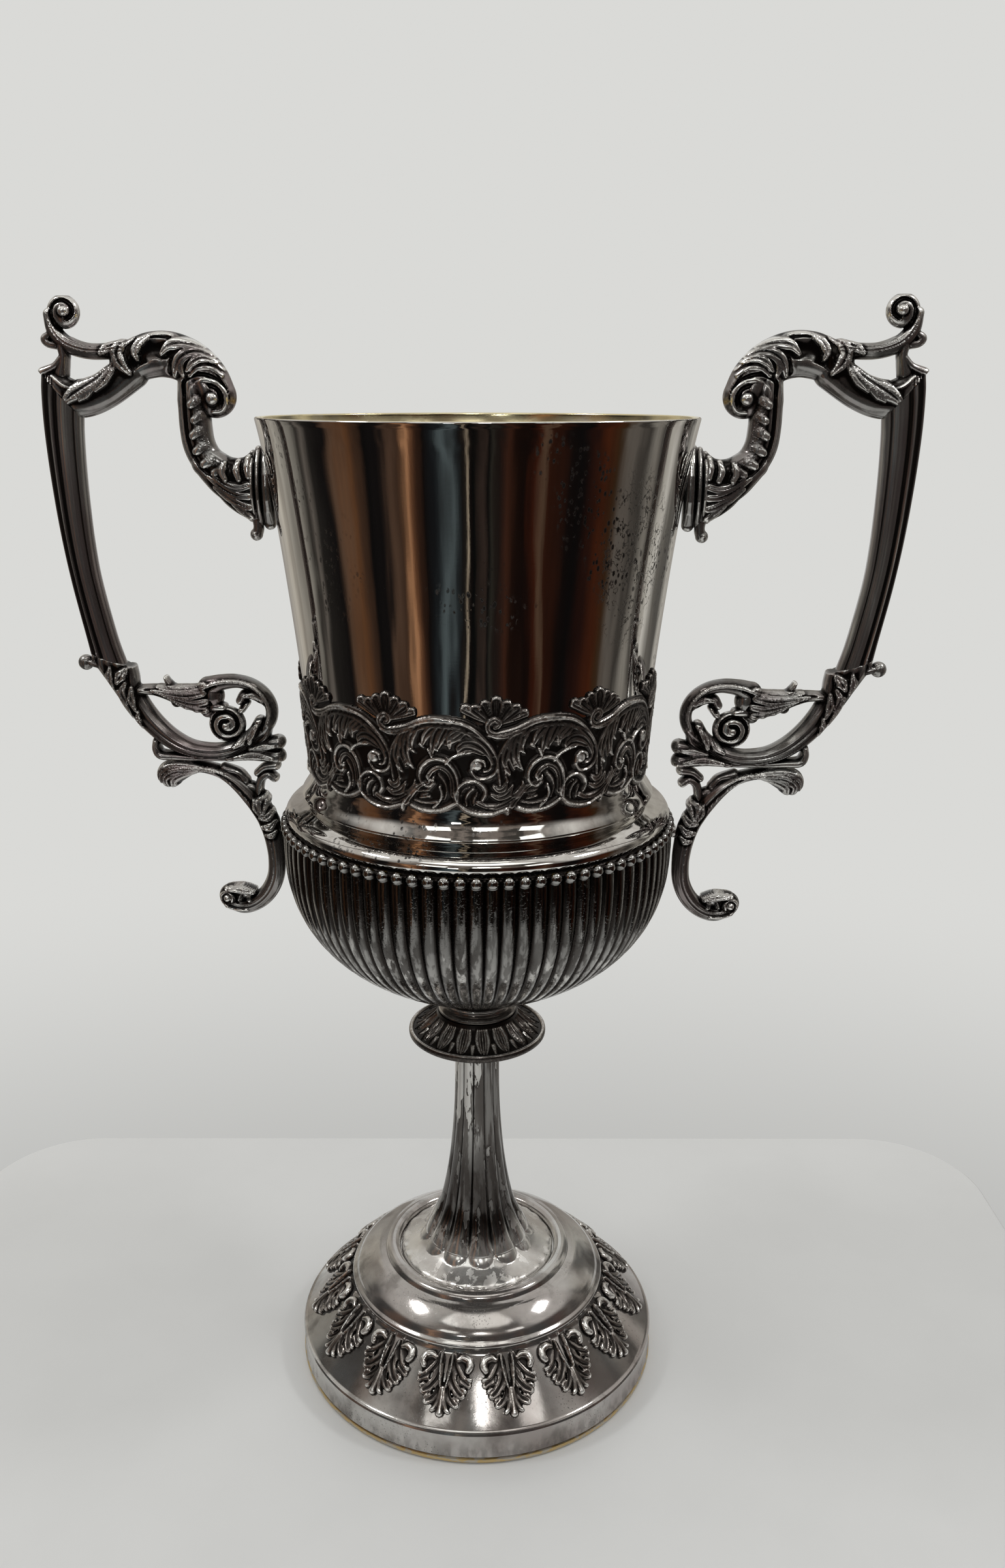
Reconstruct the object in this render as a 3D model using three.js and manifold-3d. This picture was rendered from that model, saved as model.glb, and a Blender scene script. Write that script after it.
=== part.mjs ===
// Two-handled silver-plated cup trophy: a flared gilt-lined cup on a fluted bowl, a leaf knop,
// a fluted trumpet stem and a domed leafy foot. Units are millimetres, +Z is up, and the origin
// is the centre of the foot where it meets the table. The front of the cup faces -Y.
import * as THREE from 'three';
import { mergeVertices } from 'three/addons/utils/BufferGeometryUtils.js';
import Module from 'manifold-3d';

const wasm = await Module();
wasm.setup();

// Clearance left between pieces that are soldered, seated or screwed together.
const gap = 0.3;

// The cup is stacked from the table up. Each piece has a height of its own.
const wireHeight = 2.2;
const footSeatHeight = 43.6;
const stemHeight = 93.8;
const knopHeight = 15.6;
const collarHeight = 7.3;
const bowlHeight = 75.4;
const wallHeight = 142.8;

const stemBase = footSeatHeight + gap;
const knopBase = stemBase + stemHeight + gap;
const collarBase = knopBase + knopHeight + gap;
const bowlBase = collarBase + collarHeight + gap;
const wallBase = bowlBase + bowlHeight + gap;
const rimHeight = wallBase + wallHeight;

// Outer radii, sheet thickness and the heights of the main turns.
const sheet = 1.2;
const rimRadius = 77;
const waistRadius = 62;
const waistRise = 18.8;
const bowlRadius = 73.4;
const bowlWidestRise = 64.5;
const bowlBottomRadius = 11;
const beadInset = 1.2;
const shoulderRadius = bowlRadius - beadInset;
const lapInset = 2.2;
const lapHeight = 1.2;
const ringRadius = 15.5;
const knopRadius = 27.2;
const knopEdgeRise = 5.7;
const knopTopRadius = 14.6;
const stemTopRadius = 8.8;
const stemFootRadius = 20.5;
const skirtRadius = 31.6;
const stepRadius = 52;
const stepHeight = 34.3;
const footRadius = 73.7;
const footEdgeHeight = 12.5;
const wireWidth = 2.1;

// The stud that clamps the foot, stem, knop and collar to the bowl.
const studRadius = 3;
const boreRadius = studRadius + gap;
const washerRadius = 9;
const washerThickness = 1;
const nutWidth = 10;
const nutHeight = 5;
const studBelowNut = 2.4;
const bossRadius = 6;
const bossHeight = 7;

// Repeats round the axis.
const cupSegments = 48;
const footSegments = 32;
const stemSegments = 36;
const smallSegments = 24;
const friezeCount = 11;
const friezeTurn = THREE.MathUtils.degToRad(4.9);
const footLeafCount = 15;
const stemFlutes = 12;
const fluteDepth = 0.9;

// Applied castings.
const friezeRise = 18;
const friezeHeight = 32;
const shellHeight = 8;
const friezeThickness = 1.6;
const leafThickness = 1.6;
const leafRootWidth = 18;
const leafTipWidth = 8;

// Handles. Reach is measured outwards from the line that joins the two seats on the cup, and
// rise is measured upwards from the lower seat.
const lugRise = 67.5;
const lugRadius = 2.5;
const lugReach = 1.9;
const plateDrop = 25;
const plateReach = 7.7;
const plateWidth = 15;
const plateHalfHeight = 13.1;
const handleRise = 126;
const scrollThickness = 9;
const legThickness = 8;
const gripDepth = 12;
const finialRadius = 2.6;

const silver = new THREE.MeshStandardMaterial({ color: 0xc9c6c0, metalness: 1, roughness: 0.12 });
const darkSilver = new THREE.MeshStandardMaterial({ color: 0x77736d, metalness: 1, roughness: 0.3 });
const stemSilver = new THREE.MeshStandardMaterial({ color: 0x9c9891, metalness: 1, roughness: 0.22 });
const brass = new THREE.MeshStandardMaterial({ color: 0xb08d4a, metalness: 1, roughness: 0.35 });
const steel = new THREE.MeshStandardMaterial({ color: 0x8d8f92, metalness: 1, roughness: 0.45 });

// ---------------------------------------------------------------- shape helpers

function point(x, y) {
  return new THREE.Vector2(x, y);
}

function points(pairs) {
  return pairs.map(([x, y]) => point(x, y));
}

// A turned piece: the outline [radius, height] runs up its outside and back down its inside.
function turned(outline, segments) {
  return new THREE.LatheGeometry(outline, segments).rotateX(Math.PI / 2);
}

// Points on a smooth curve between two turns of an outline.
function sweep(start, startPull, endPull, end, steps) {
  return new THREE.CubicBezierCurve(start, startPull, endPull, end).getPoints(steps);
}

// Radius of an outline at a height, for outlines whose height only rises.
function radiusAt(outline, height) {
  const found = outline.findIndex((corner, i) => i > 0 && corner.y >= height);
  const above = found < 0 ? outline.length - 1 : found;
  const upper = outline[above];
  const lower = outline[above - 1];
  return THREE.MathUtils.mapLinear(height, lower.y, upper.y, lower.x, upper.x);
}

// Every corner of an outline moved sideways by a distance, square to the outline.
function offset(outline, distance) {
  return outline.map((corner, i) => {
    const before = outline[Math.max(i - 1, 0)];
    const after = outline[Math.min(i + 1, outline.length - 1)];
    const along = after.clone().sub(before).normalize();
    return point(corner.x - along.y * distance, corner.y + along.x * distance);
  });
}

function remap(geometry, place) {
  const position = geometry.attributes.position;
  const corner = new THREE.Vector3();
  for (let i = 0; i < position.count; i += 1) {
    corner.fromBufferAttribute(position, i);
    place(corner);
    position.setXYZ(i, corner.x, corner.y, corner.z);
  }
  return geometry;
}

// A flat casting in the plane of the handles. Each run of points is one smooth curve, and the
// runs are joined by straight edges. The openings run round the other way from the outline.
function casting(runs, openings, thickness) {
  const shape = new THREE.Shape();
  trace(shape, runs);
  for (const opening of openings) {
    const hole = new THREE.Path();
    trace(hole, [[...opening, opening[0]]]);
    shape.holes.push(hole);
  }
  const geometry = new THREE.ExtrudeGeometry(shape, {
    depth: thickness,
    bevelEnabled: false,
    curveSegments: 2,
  });
  return geometry.rotateX(Math.PI / 2).translate(0, thickness / 2, 0);
}

function trace(path, runs) {
  runs.forEach((run, i) => {
    const [first, ...rest] = run.map(([reach, rise]) => handlePoint(reach, rise));
    if (i === 0) {
      path.moveTo(first.x, first.y);
    } else {
      path.lineTo(first.x, first.y);
    }
    if (rest.length === 1) {
      path.lineTo(rest[0].x, rest[0].y);
    } else {
      path.splineThru(rest);
    }
  });
}

function toSolid(geometry) {
  const bare = geometry.clone();
  bare.deleteAttribute('normal');
  bare.deleteAttribute('uv');
  const merged = mergeVertices(bare);
  const mesh = new wasm.Mesh({
    numProp: 3,
    vertProperties: new Float32Array(merged.attributes.position.array),
    triVerts: new Uint32Array(merged.index.array),
  });
  return new wasm.Manifold(mesh);
}

function toGeometry(solid) {
  const mesh = solid.getMesh();
  const geometry = new THREE.BufferGeometry();
  geometry.setAttribute('position', new THREE.BufferAttribute(mesh.vertProperties, 3));
  geometry.setIndex(new THREE.BufferAttribute(mesh.triVerts, 1));
  geometry.computeVertexNormals();
  return geometry;
}

function piece(parent, name, geometry, material, height = 0) {
  const mesh = new THREE.Mesh(geometry, material);
  mesh.name = name;
  mesh.position.z = height;
  parent.add(mesh);
  return mesh;
}

// ---------------------------------------------------------------- outlines shared by pieces

// The flare of the cup wall, from its waist to its rim.
const flareStart = point(waistRadius, waistRise);
const flareEnd = point(rimRadius, wallHeight);
const flare = sweep(
  flareStart,
  flareStart.clone().add(point(0, 20)),
  flareEnd.clone().add(point(-6, -24)),
  flareEnd,
  5,
);

// The outside of the fluted bowl, from its flat bottom to its widest turn.
const bowlTurn = point(bowlRadius, bowlWidestRise);
const bowlCurve = sweep(
  point(bowlBottomRadius, 0),
  point(44, 10.2),
  point(bowlRadius, bowlWidestRise - 39.5),
  bowlTurn,
  7,
);

// The slope of the foot that carries the leaves, from the edge up to the step ring.
const slope = sweep(
  point(footRadius - 1.2, footEdgeHeight + 0.6),
  point(footRadius - 7.7, footEdgeHeight + 6.5),
  point(stepRadius + 7, stepHeight - 7.6),
  point(stepRadius + 0.7, stepHeight - 2.4),
  6,
);

// Lower seat of a handle on the bowl, and upper seat on the wall.
const lugHeight = bowlBase + lugRise;
const plateHeight = rimHeight - plateDrop;
const lowerSeatRadius = bowlRadius;
const upperSeatRadius = radiusAt(flare, plateHeight - wallBase);

function handlePoint(reach, rise) {
  const share = rise / handleRise;
  const seat = THREE.MathUtils.lerp(lowerSeatRadius, upperSeatRadius, share);
  return point(seat + reach, THREE.MathUtils.lerp(lugHeight, plateHeight, share));
}

// ---------------------------------------------------------------- turned pieces

function cupWall() {
  const undercut = waistRadius + 1.9;
  const roll = waistRadius + 3.7;
  const cavetto = (undercut + shoulderRadius) / 2 - 1;
  const outside = [
    ...points([
      [shoulderRadius - 0.8, 0],
      [shoulderRadius, 1.4],
      [shoulderRadius - 0.7, 3.2],
      [shoulderRadius - 2.4, 4.5],
      [cavetto, 5.5],
      [undercut, 6.9],
      [undercut + 0.1, 8],
      [roll - 0.4, 8.8],
      [roll, 9.8],
      [roll - 0.7, 11],
      [waistRadius + 1.5, 13.4],
      [waistRadius + 0.5, 16],
    ]),
    ...flare,
  ];
  const inside = [
    ...flare.map((corner) => point(corner.x - sheet, corner.y)).reverse(),
    ...points([
      [waistRadius - sheet + 0.4, 13],
      [undercut - 1.4, 8],
      [undercut - 1.2, 5.6],
      [cavetto, 4.2],
      [shoulderRadius - lapInset - 0.6, 3],
      [shoulderRadius - lapInset + 0.4, 1.6],
      [shoulderRadius - lapInset, 0],
    ]),
  ];
  return turned([...outside, ...inside, outside[0].clone()], cupSegments);
}

function flutedBowl() {
  const lapRadius = shoulderRadius - lapInset - gap;
  const outside = [
    point(0, 0),
    ...bowlCurve,
    point(bowlRadius - 0.2, bowlHeight - 5),
    point(shoulderRadius - 0.8, bowlHeight),
    point(lapRadius, bowlHeight),
    point(lapRadius, bowlHeight + lapHeight),
  ];
  const inside = [
    point(lapRadius - sheet, bowlHeight + lapHeight),
    point(lapRadius - sheet, bowlHeight - 4),
    ...offset(bowlCurve, sheet).reverse().slice(0, -1),
    point(bowlBottomRadius, sheet),
    point(0, sheet),
  ];
  return turned([...outside, ...inside], cupSegments);
}

function neckCollar() {
  const outline = points([
    [ringRadius - 1.1, 0],
    [ringRadius, 0.8],
    [ringRadius, 1.6],
    [ringRadius - 0.6, 2.4],
    [ringRadius - 3.1, 2.9],
    [ringRadius - 2.5, 3.6],
    [ringRadius - 2.3, 4.2],
    [ringRadius - 2.8, 5],
    [bowlBottomRadius, 5.6],
    [bowlBottomRadius - 0.3, collarHeight],
    [bossRadius + gap, collarHeight],
    [bossRadius + gap, 0],
    [ringRadius - 1.1, 0],
  ]);
  return turned(outline, smallSegments);
}

function leafKnop() {
  const edge = knopEdgeRise;
  const outline = points([
    [stemTopRadius + 1.6, 0],
    [stemTopRadius + 2.4, 1.8],
    [knopRadius - 10, 3.4],
    [knopRadius - 0.4, edge - 0.2],
    [knopRadius, edge + 0.4],
    [knopRadius, edge + 2.2],
    [knopRadius - 0.9, edge + 2.6],
    [knopRadius - 1.8, edge + 2],
    [knopRadius - 3.2, edge + 2.3],
    [knopRadius - 7.2, edge + 5],
    [knopRadius - 10.7, knopHeight - 1.7],
    [knopTopRadius, knopHeight],
    [boreRadius, knopHeight],
    [boreRadius, knopHeight - sheet],
    [knopTopRadius - 2, knopHeight - sheet],
    [knopRadius - 12.5, knopHeight - 4],
    [knopRadius - 4, edge + 0.8],
    [knopRadius - 12, edge - 0.8],
    [stemTopRadius - 0.6, 2.4],
    [stemTopRadius - 0.6, 0],
    [stemTopRadius + 1.6, 0],
  ]);
  return turned(outline, smallSegments);
}

// The trumpet stem. Its flutes fade out on the skirt at the bottom.
function flutedStem() {
  const bore = stemTopRadius - 2.3;
  const trumpet = sweep(
    point(stemFootRadius, 7.6),
    point(7.3, 35.1),
    point(stemTopRadius, stemHeight - 8.8),
    point(stemTopRadius, stemHeight),
    6,
  );
  const lining = offset(trumpet, 2.2).filter((corner) => corner.x > bore);
  const outline = [
    ...points([
      [skirtRadius, 0],
      [skirtRadius, 0.7],
      [skirtRadius - 2.1, 2.4],
      [skirtRadius - 6.6, 5],
    ]),
    ...trumpet,
    point(boreRadius, stemHeight),
    point(boreRadius, stemHeight - sheet),
    point(bore, stemHeight - sheet),
    ...lining.reverse(),
    ...points([
      [skirtRadius - 6.6, 2.8],
      [skirtRadius - 2.4, 0.8],
      [skirtRadius - 1.6, 0],
      [skirtRadius, 0],
    ]),
  ];
  const stem = turned(outline, stemSegments);
  return remap(stem, (corner) => {
    const radius = Math.hypot(corner.x, corner.y);
    const outer = radiusAt(trumpet, Math.max(corner.z, trumpet[0].y));
    if (radius < outer - 0.01 || corner.z < trumpet[0].y) {
      return;
    }
    const wave = 0.5 - 0.5 * Math.cos(stemFlutes * Math.atan2(corner.x, -corner.y));
    const scale = 1 - (fluteDepth * wave) / radius;
    corner.x *= scale;
    corner.y *= scale;
  });
}

function footDome() {
  const seat = skirtRadius + 0.6;
  const ring = skirtRadius + 3.4;
  const dome = sweep(
    point(stepRadius - 1.6, stepHeight + 2),
    point(stepRadius - 5.4, stepHeight + 6.6),
    point(ring + 8, footSeatHeight),
    point(ring + 4.4, footSeatHeight + 0.7),
    4,
  );
  const outside = [
    ...points([
      [footRadius - 0.3, wireHeight + gap],
      [footRadius - 0.6, footEdgeHeight / 2],
      [footRadius - 0.3, footEdgeHeight - 1.5],
      [footRadius, footEdgeHeight],
    ]),
    ...slope,
    ...points([
      [stepRadius + 0.3, stepHeight - 1.2],
      [stepRadius + 0.5, stepHeight],
      [stepRadius - 0.2, stepHeight + 1.2],
    ]),
    ...dome,
    ...points([
      [ring + 3.3, footSeatHeight + 0.6],
      [ring + 2.7, footSeatHeight + 1.6],
      [ring + 1.6, footSeatHeight + 2.8],
      [ring, footSeatHeight + 3.3],
      [ring - 1.4, footSeatHeight + 2.9],
      [seat + 0.4, footSeatHeight + 1.8],
      [seat, footSeatHeight],
      [boreRadius, footSeatHeight],
    ]),
  ];
  const inside = points([
    [boreRadius, footSeatHeight - sheet],
    [ring + 4.4, footSeatHeight - sheet],
    [ring + 9, footSeatHeight - 3.6],
    [stepRadius - 2.8, stepHeight + 0.3],
    [stepRadius - 1, stepHeight - 3.5],
    [footRadius - 15.7, footEdgeHeight + 12.1],
    [footRadius - 6.9, footEdgeHeight + 3.1],
    [footRadius - sheet - 0.7, footEdgeHeight - 1.3],
    [footRadius - sheet - 0.3, wireHeight + gap],
  ]);
  return turned([...outside, ...inside, outside[0].clone()], footSegments);
}

function footWire() {
  const outline = points([
    [footRadius - wireWidth, 0],
    [footRadius, 0],
    [footRadius, wireHeight],
    [footRadius - wireWidth, wireHeight],
    [footRadius - wireWidth, 0],
  ]);
  return turned(outline, footSegments);
}

// ---------------------------------------------------------------- applied ornament

// One casting of the frieze: a plate bent round the wall, taller under the shell at its middle.
function friezePanel(index) {
  const pitch = (2 * Math.PI) / friezeCount;
  const middle = friezeTurn + pitch * index;
  const width = pitch - gap / waistRadius;
  return remap(new THREE.BoxGeometry(1, 1, 1, 5, 3, 1), (corner) => {
    const angle = middle + corner.x * width;
    const shell = shellHeight * Math.exp(-((corner.x * 4) ** 2));
    const rise = friezeRise + (corner.y + 0.5) * (friezeHeight + shell);
    const radius = radiusAt(flare, rise) + gap + (corner.z + 0.5) * friezeThickness;
    corner.set(radius * Math.sin(angle), -radius * Math.cos(angle), rise);
  });
}

// One acanthus leaf of the foot, lying on the slope with its tip towards the edge.
function footLeaf(index) {
  const pitch = (2 * Math.PI) / footLeafCount;
  const middle = pitch * (index + 0.5);
  const bottom = offset(slope, -gap).slice(1);
  const top = offset(slope, -gap - leafThickness).slice(1);
  const rows = bottom.length - 1;
  return remap(new THREE.BoxGeometry(1, 1, 1, 2, rows, 1), (corner) => {
    const row = Math.round((corner.y + 0.5) * rows);
    const width = THREE.MathUtils.lerp(leafTipWidth, leafRootWidth, Math.sqrt(row / rows));
    const seat = corner.z < 0 ? bottom[row] : top[row];
    const angle = middle + (corner.x * width) / seat.x;
    corner.set(seat.x * Math.sin(angle), -seat.x * Math.cos(angle), seat.y);
  });
}

// ---------------------------------------------------------------- handle pieces

// The slanted joints where the grip is soldered to the scrolls above and below it.
const upperSeat = [[80.6, 166.2], [67.3, 151.4]];
const lowerSeat = [[70.8, 67.2], [58, 63.2]];
const touchRise = 26.6;
const touchReach = [24.9, 45.9];

// Top scroll: curl, arm, volute and the neck that comes down to the mount plate.
function upperScroll() {
  const top = [
    [plateReach + gap, 137.5], [12.3, 136], [15.3, 134.5], [18.8, 135], [21.8, 137.8], [23.8, 142],
    [24.1, 146.5], [23.2, 149.6], [19.9, 149.7], [15.9, 150.8], [13.4, 153.6], [12.9, 157.8],
    [14, 162.5], [16.5, 167.5], [20.6, 171.5], [26.1, 175.2], [33.1, 177.6], [40.1, 178],
    [47.1, 176.4], [53.1, 174.9], [59.1, 174.4], [63.6, 176], [67.4, 179], [68.7, 181.8],
    [66.8, 184], [67, 187.5], [69.2, 189.6], [72.7, 190], [75.5, 188], [76.7, 184.5],
    [76, 180.3], [78, 178.2], [78.3, 176], [76.3, 174.4], [74.4, 172.6], [75.1, 170.2], [78.2, 167.8],
  ];
  const underside = [
    [64.4, 152.4], [58.9, 153.6], [53.4, 156], [48, 159.6], [43, 162.8], [38.5, 163.6],
    [35, 162], [33.4, 159.2], [34.3, 154], [34.9, 148], [34, 141.5], [31.8, 135.5],
    [28.2, 130.3], [22.7, 125.6], [17.2, 121.2], [12.6, 116.6], [plateReach + gap, 113.6],
  ];
  const opening = [
    [66.1, 170.3], [61, 169.2], [59.2, 167.2], [60.8, 164.8], [65.5, 163.4], [70, 164.3],
    [71.8, 167], [70.7, 170.6],
  ];
  return casting([top, upperSeat, underside], [opening], scrollThickness);
}

// Big C-scroll with its inner volute, the leafy member above it and two lobes towards the cup.
function lowerScroll() {
  const inner = [
    [54.8, 60.5], [53.9, 55.8], [50.1, 56.2], [46.9, 55.4], [46.6, 57.8], [45.4, 59.4],
    [44.1, 58.8], [42.1, 56.2], [38.6, 55], [34.6, 55.4], [29.7, 57.6], [23.2, 59.5],
    [16.7, 59.3], [10.7, 57], [6.4, 53], [4.4, 48], [4.4, 42], [5.6, 36.6], [3.6, 35.4],
    [1.2, 34.8], [0.3, 32.2], [1.7, 29.6], [0.3, 27], [0.5, 24.6], [2.6, 23], [5.9, 24.1],
    [9.5, 25.3], [14.9, 26.2],
  ];
  const outer = [
    [48.7, 28.4], [50.1, 31], [49.9, 34.2], [53.4, 38.6], [57.5, 44], [61.6, 50.3],
    [65.6, 57], [68.2, 61.6], [71.8, 61.3], [74.4, 62.8], [74.6, 65.6], [72.8, 67.2],
  ];
  const touch = touchReach.map((reach) => [reach, touchRise]);
  const openings = [
    [
      [51.9, 51.4], [47.6, 50], [43.9, 47.6], [39.1, 46], [34, 44], [30.2, 41.6], [28.8, 37.6],
      [26, 35], [28.5, 33.2], [34, 33.2], [39.5, 35.6], [44, 39.4], [48.1, 44.6],
    ],
    [[20.1, 56], [23.5, 54.6], [25.1, 52], [23.5, 49.1], [20.3, 48.8], [18.3, 52]],
    [[13.3, 47], [10.3, 47], [8.8, 43.8], [10.4, 41.1], [13.6, 42.2]],
  ];
  const seat = [[lowerSeat[0][0], lowerSeat[0][1] - gap], [lowerSeat[1][0], lowerSeat[1][1] - gap]];
  return casting([seat, inner, touch, outer], openings, scrollThickness);
}

// S-shaped leg that comes down past the bowl and ends in a leafy curl.
function legScroll() {
  const cupSide = [
    [18.4, 23], [14.9, 20.4], [12, 18], [11.3, 20.6], [8.9, 22.4], [5.9, 22.4], [3.2, 21],
    [2.5, 19], [6.2, 18.2], [6.5, 14.6], [4.4, 9], [2.3, 4], [lugReach, 0], [2, -4],
    [1.6, -8.5], [1.4, -14], [2, -19.5], [3.9, -25.2], [7.3, -30], [11.9, -33.5],
    [16.9, -35.4], [21.9, -35.2], [25.8, -33], [27.8, -29.5], [27.7, -26], [25.3, -23],
    [21.5, -22.4], [17.5, -23.6], [13.1, -24.6], [10.9, -22.6], [9, -18.5], [7.9, -13],
    [8, -7.5], [9.3, -1], [11.7, 5.5], [15.3, 12], [19.8, 17.4], [24.9, 20.6], [30.9, 21.9],
    [36.4, 21.2], [40.4, 19], [42, 16.4], [45, 15.1], [48.4, 16], [50.4, 19], [50.2, 22.6],
    [48.2, 25.4],
  ];
  const touch = touchReach.map((reach) => [reach, touchRise - gap]).reverse();
  return casting([cupSide, touch], [], legThickness);
}

// The reeded grip: an oval bar that bows outwards and tapers towards its lower end.
function grip() {
  const centreLine = new THREE.SplineCurve(
    [[74.2, 157], [74.4, 147], [73.7, 129.6], [72.5, 111.4], [70.3, 92.7], [66.8, 75], [64.4, 65.4]]
      .map(([reach, rise]) => handlePoint(reach, rise)),
  );
  const steps = 8;
  const topWidth = 13.4;
  const bottomWidth = 10.8;
  return remap(new THREE.CylinderGeometry(1, 1, 1, 12, steps), (corner) => {
    const share = corner.y + 0.5;
    const centre = centreLine.getPoint(1 - share);
    const along = centreLine.getTangent(1 - share);
    const half = THREE.MathUtils.lerp(bottomWidth, topWidth, share) / 2;
    const across = point(-along.y, along.x).multiplyScalar(corner.x * half);
    const place = centre.add(across);
    if (share > 1 - 0.5 / steps) {
      place.y = seatRise(upperSeat, place.x) - gap;
    }
    if (share < 0.5 / steps) {
      place.y = seatRise(lowerSeat, place.x);
    }
    corner.set(place.x, (-corner.z * gripDepth) / 2, place.y);
  });
}

// Height of a slanted joint above a given radius.
function seatRise(seat, radius) {
  const [outer, inner] = seat.map(([reach, rise]) => handlePoint(reach, rise));
  return THREE.MathUtils.mapLinear(radius, outer.x, inner.x, outer.y, inner.y);
}

// Plate that is soldered to the wall, hollowed to follow it, with a ball finial below.
function mountPlate() {
  const outer = handlePoint(plateReach, handleRise).x;
  const depth = 14;
  const plate = new THREE.BoxGeometry(depth, plateWidth, 2 * plateHalfHeight);
  plate.translate(outer - depth / 2, 0, plateHeight);
  const finial = new THREE.SphereGeometry(finialRadius, 12, 8);
  finial.translate(outer + 0.6, 0, plateHeight - plateHalfHeight - finialRadius + 0.7);
  const body = flare.map((corner) => point(corner.x + gap, corner.y + wallBase));
  const keepOut = turned([point(0, body[0].y), ...body, point(0, body[body.length - 1].y)], cupSegments);
  return toGeometry(toSolid(plate).add(toSolid(finial)).subtract(toSolid(keepOut)));
}

// Small round pad between the leg and the widest turn of the bowl.
function bowlLug() {
  const start = bowlRadius + gap;
  const end = handlePoint(lugReach, 0).x - gap;
  const pad = new THREE.CylinderGeometry(lugRadius, lugRadius, end - start, 16);
  return pad.rotateZ(Math.PI / 2).translate((start + end) / 2, 0, 0);
}

// The far handle is the near one turned half a turn about the cup's axis.
function handle(side, turn) {
  const group = new THREE.Group();
  group.rotation.z = turn;
  piece(group, `${side}_mount_plate`, mountPlate(), darkSilver);
  piece(group, `${side}_upper_scroll`, upperScroll(), darkSilver);
  piece(group, `${side}_grip`, grip(), darkSilver);
  piece(group, `${side}_lower_scroll`, lowerScroll(), darkSilver);
  piece(group, `${side}_leg_scroll`, legScroll(), darkSilver);
  piece(group, `${side}_bowl_lug`, bowlLug(), darkSilver, lugHeight);
  return group;
}

// ---------------------------------------------------------------- stud, washer and nut

const washerTop = footSeatHeight - sheet - gap;
const nutTop = washerTop - washerThickness - gap;
const studBottom = nutTop - nutHeight - studBelowNut;
const bossBase = bowlBase - gap - bossHeight;
const studTop = bowlBase - gap - sheet - gap;

// Threaded boss under the bowl, with a blind bore for the top of the stud.
function bowlBoss() {
  const outline = points([
    [bossRadius, 0],
    [bossRadius, bossHeight],
    [0, bossHeight],
    [0, bossHeight - sheet],
    [boreRadius, bossHeight - sheet],
    [boreRadius, 0],
    [bossRadius, 0],
  ]);
  return turned(outline, smallSegments);
}

function stud() {
  const length = studTop - studBottom;
  return new THREE.CylinderGeometry(studRadius, studRadius, length, smallSegments)
    .rotateX(Math.PI / 2)
    .translate(0, 0, length / 2);
}

function flatRing(corners, thickness) {
  const shape = new THREE.Shape(corners);
  shape.holes.push(new THREE.Path().absarc(0, 0, boreRadius, 0, 2 * Math.PI));
  return new THREE.ExtrudeGeometry(shape, { depth: thickness, bevelEnabled: false, curveSegments: smallSegments });
}

function ringCorners(radius, count) {
  return Array.from({ length: count }, (_, i) => {
    const angle = (2 * Math.PI * i) / count;
    return point(radius * Math.cos(angle), radius * Math.sin(angle));
  });
}

// ---------------------------------------------------------------- assembly

const trophy = new THREE.Group();

piece(trophy, 'foot_wire', footWire(), brass);
piece(trophy, 'foot_dome', footDome(), silver);
for (let i = 0; i < footLeafCount; i += 1) {
  piece(trophy, `foot_leaf_${String(i + 1).padStart(2, '0')}`, footLeaf(i), darkSilver);
}
piece(trophy, 'fluted_stem', flutedStem(), stemSilver, stemBase);
piece(trophy, 'leaf_knop', leafKnop(), darkSilver, knopBase);
piece(trophy, 'neck_collar', neckCollar(), darkSilver, collarBase);
piece(trophy, 'fluted_bowl', flutedBowl(), darkSilver, bowlBase);
piece(trophy, 'cup_wall', cupWall(), silver, wallBase);
for (let i = 0; i < friezeCount; i += 1) {
  const name = `frieze_panel_${String(i + 1).padStart(2, '0')}`;
  piece(trophy, name, friezePanel(i), darkSilver, wallBase);
}
trophy.add(handle('right', 0));
trophy.add(handle('left', Math.PI));
piece(trophy, 'bowl_boss', bowlBoss(), brass, bossBase);
piece(trophy, 'stud', stud(), steel, studBottom);
piece(trophy, 'washer', flatRing(ringCorners(washerRadius, smallSegments), washerThickness), steel, washerTop - washerThickness);
const nutCorners = ringCorners(nutWidth / Math.sqrt(3), 6);
piece(trophy, 'nut', flatRing(nutCorners, nutHeight), brass, nutTop - nutHeight);

export default trophy;
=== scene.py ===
"""Looks of a two-handled silver-plated cup trophy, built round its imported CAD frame.

Lengths in this file are in millimetres until a mesh is made, and heights are above the table.
"""
import math

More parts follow.
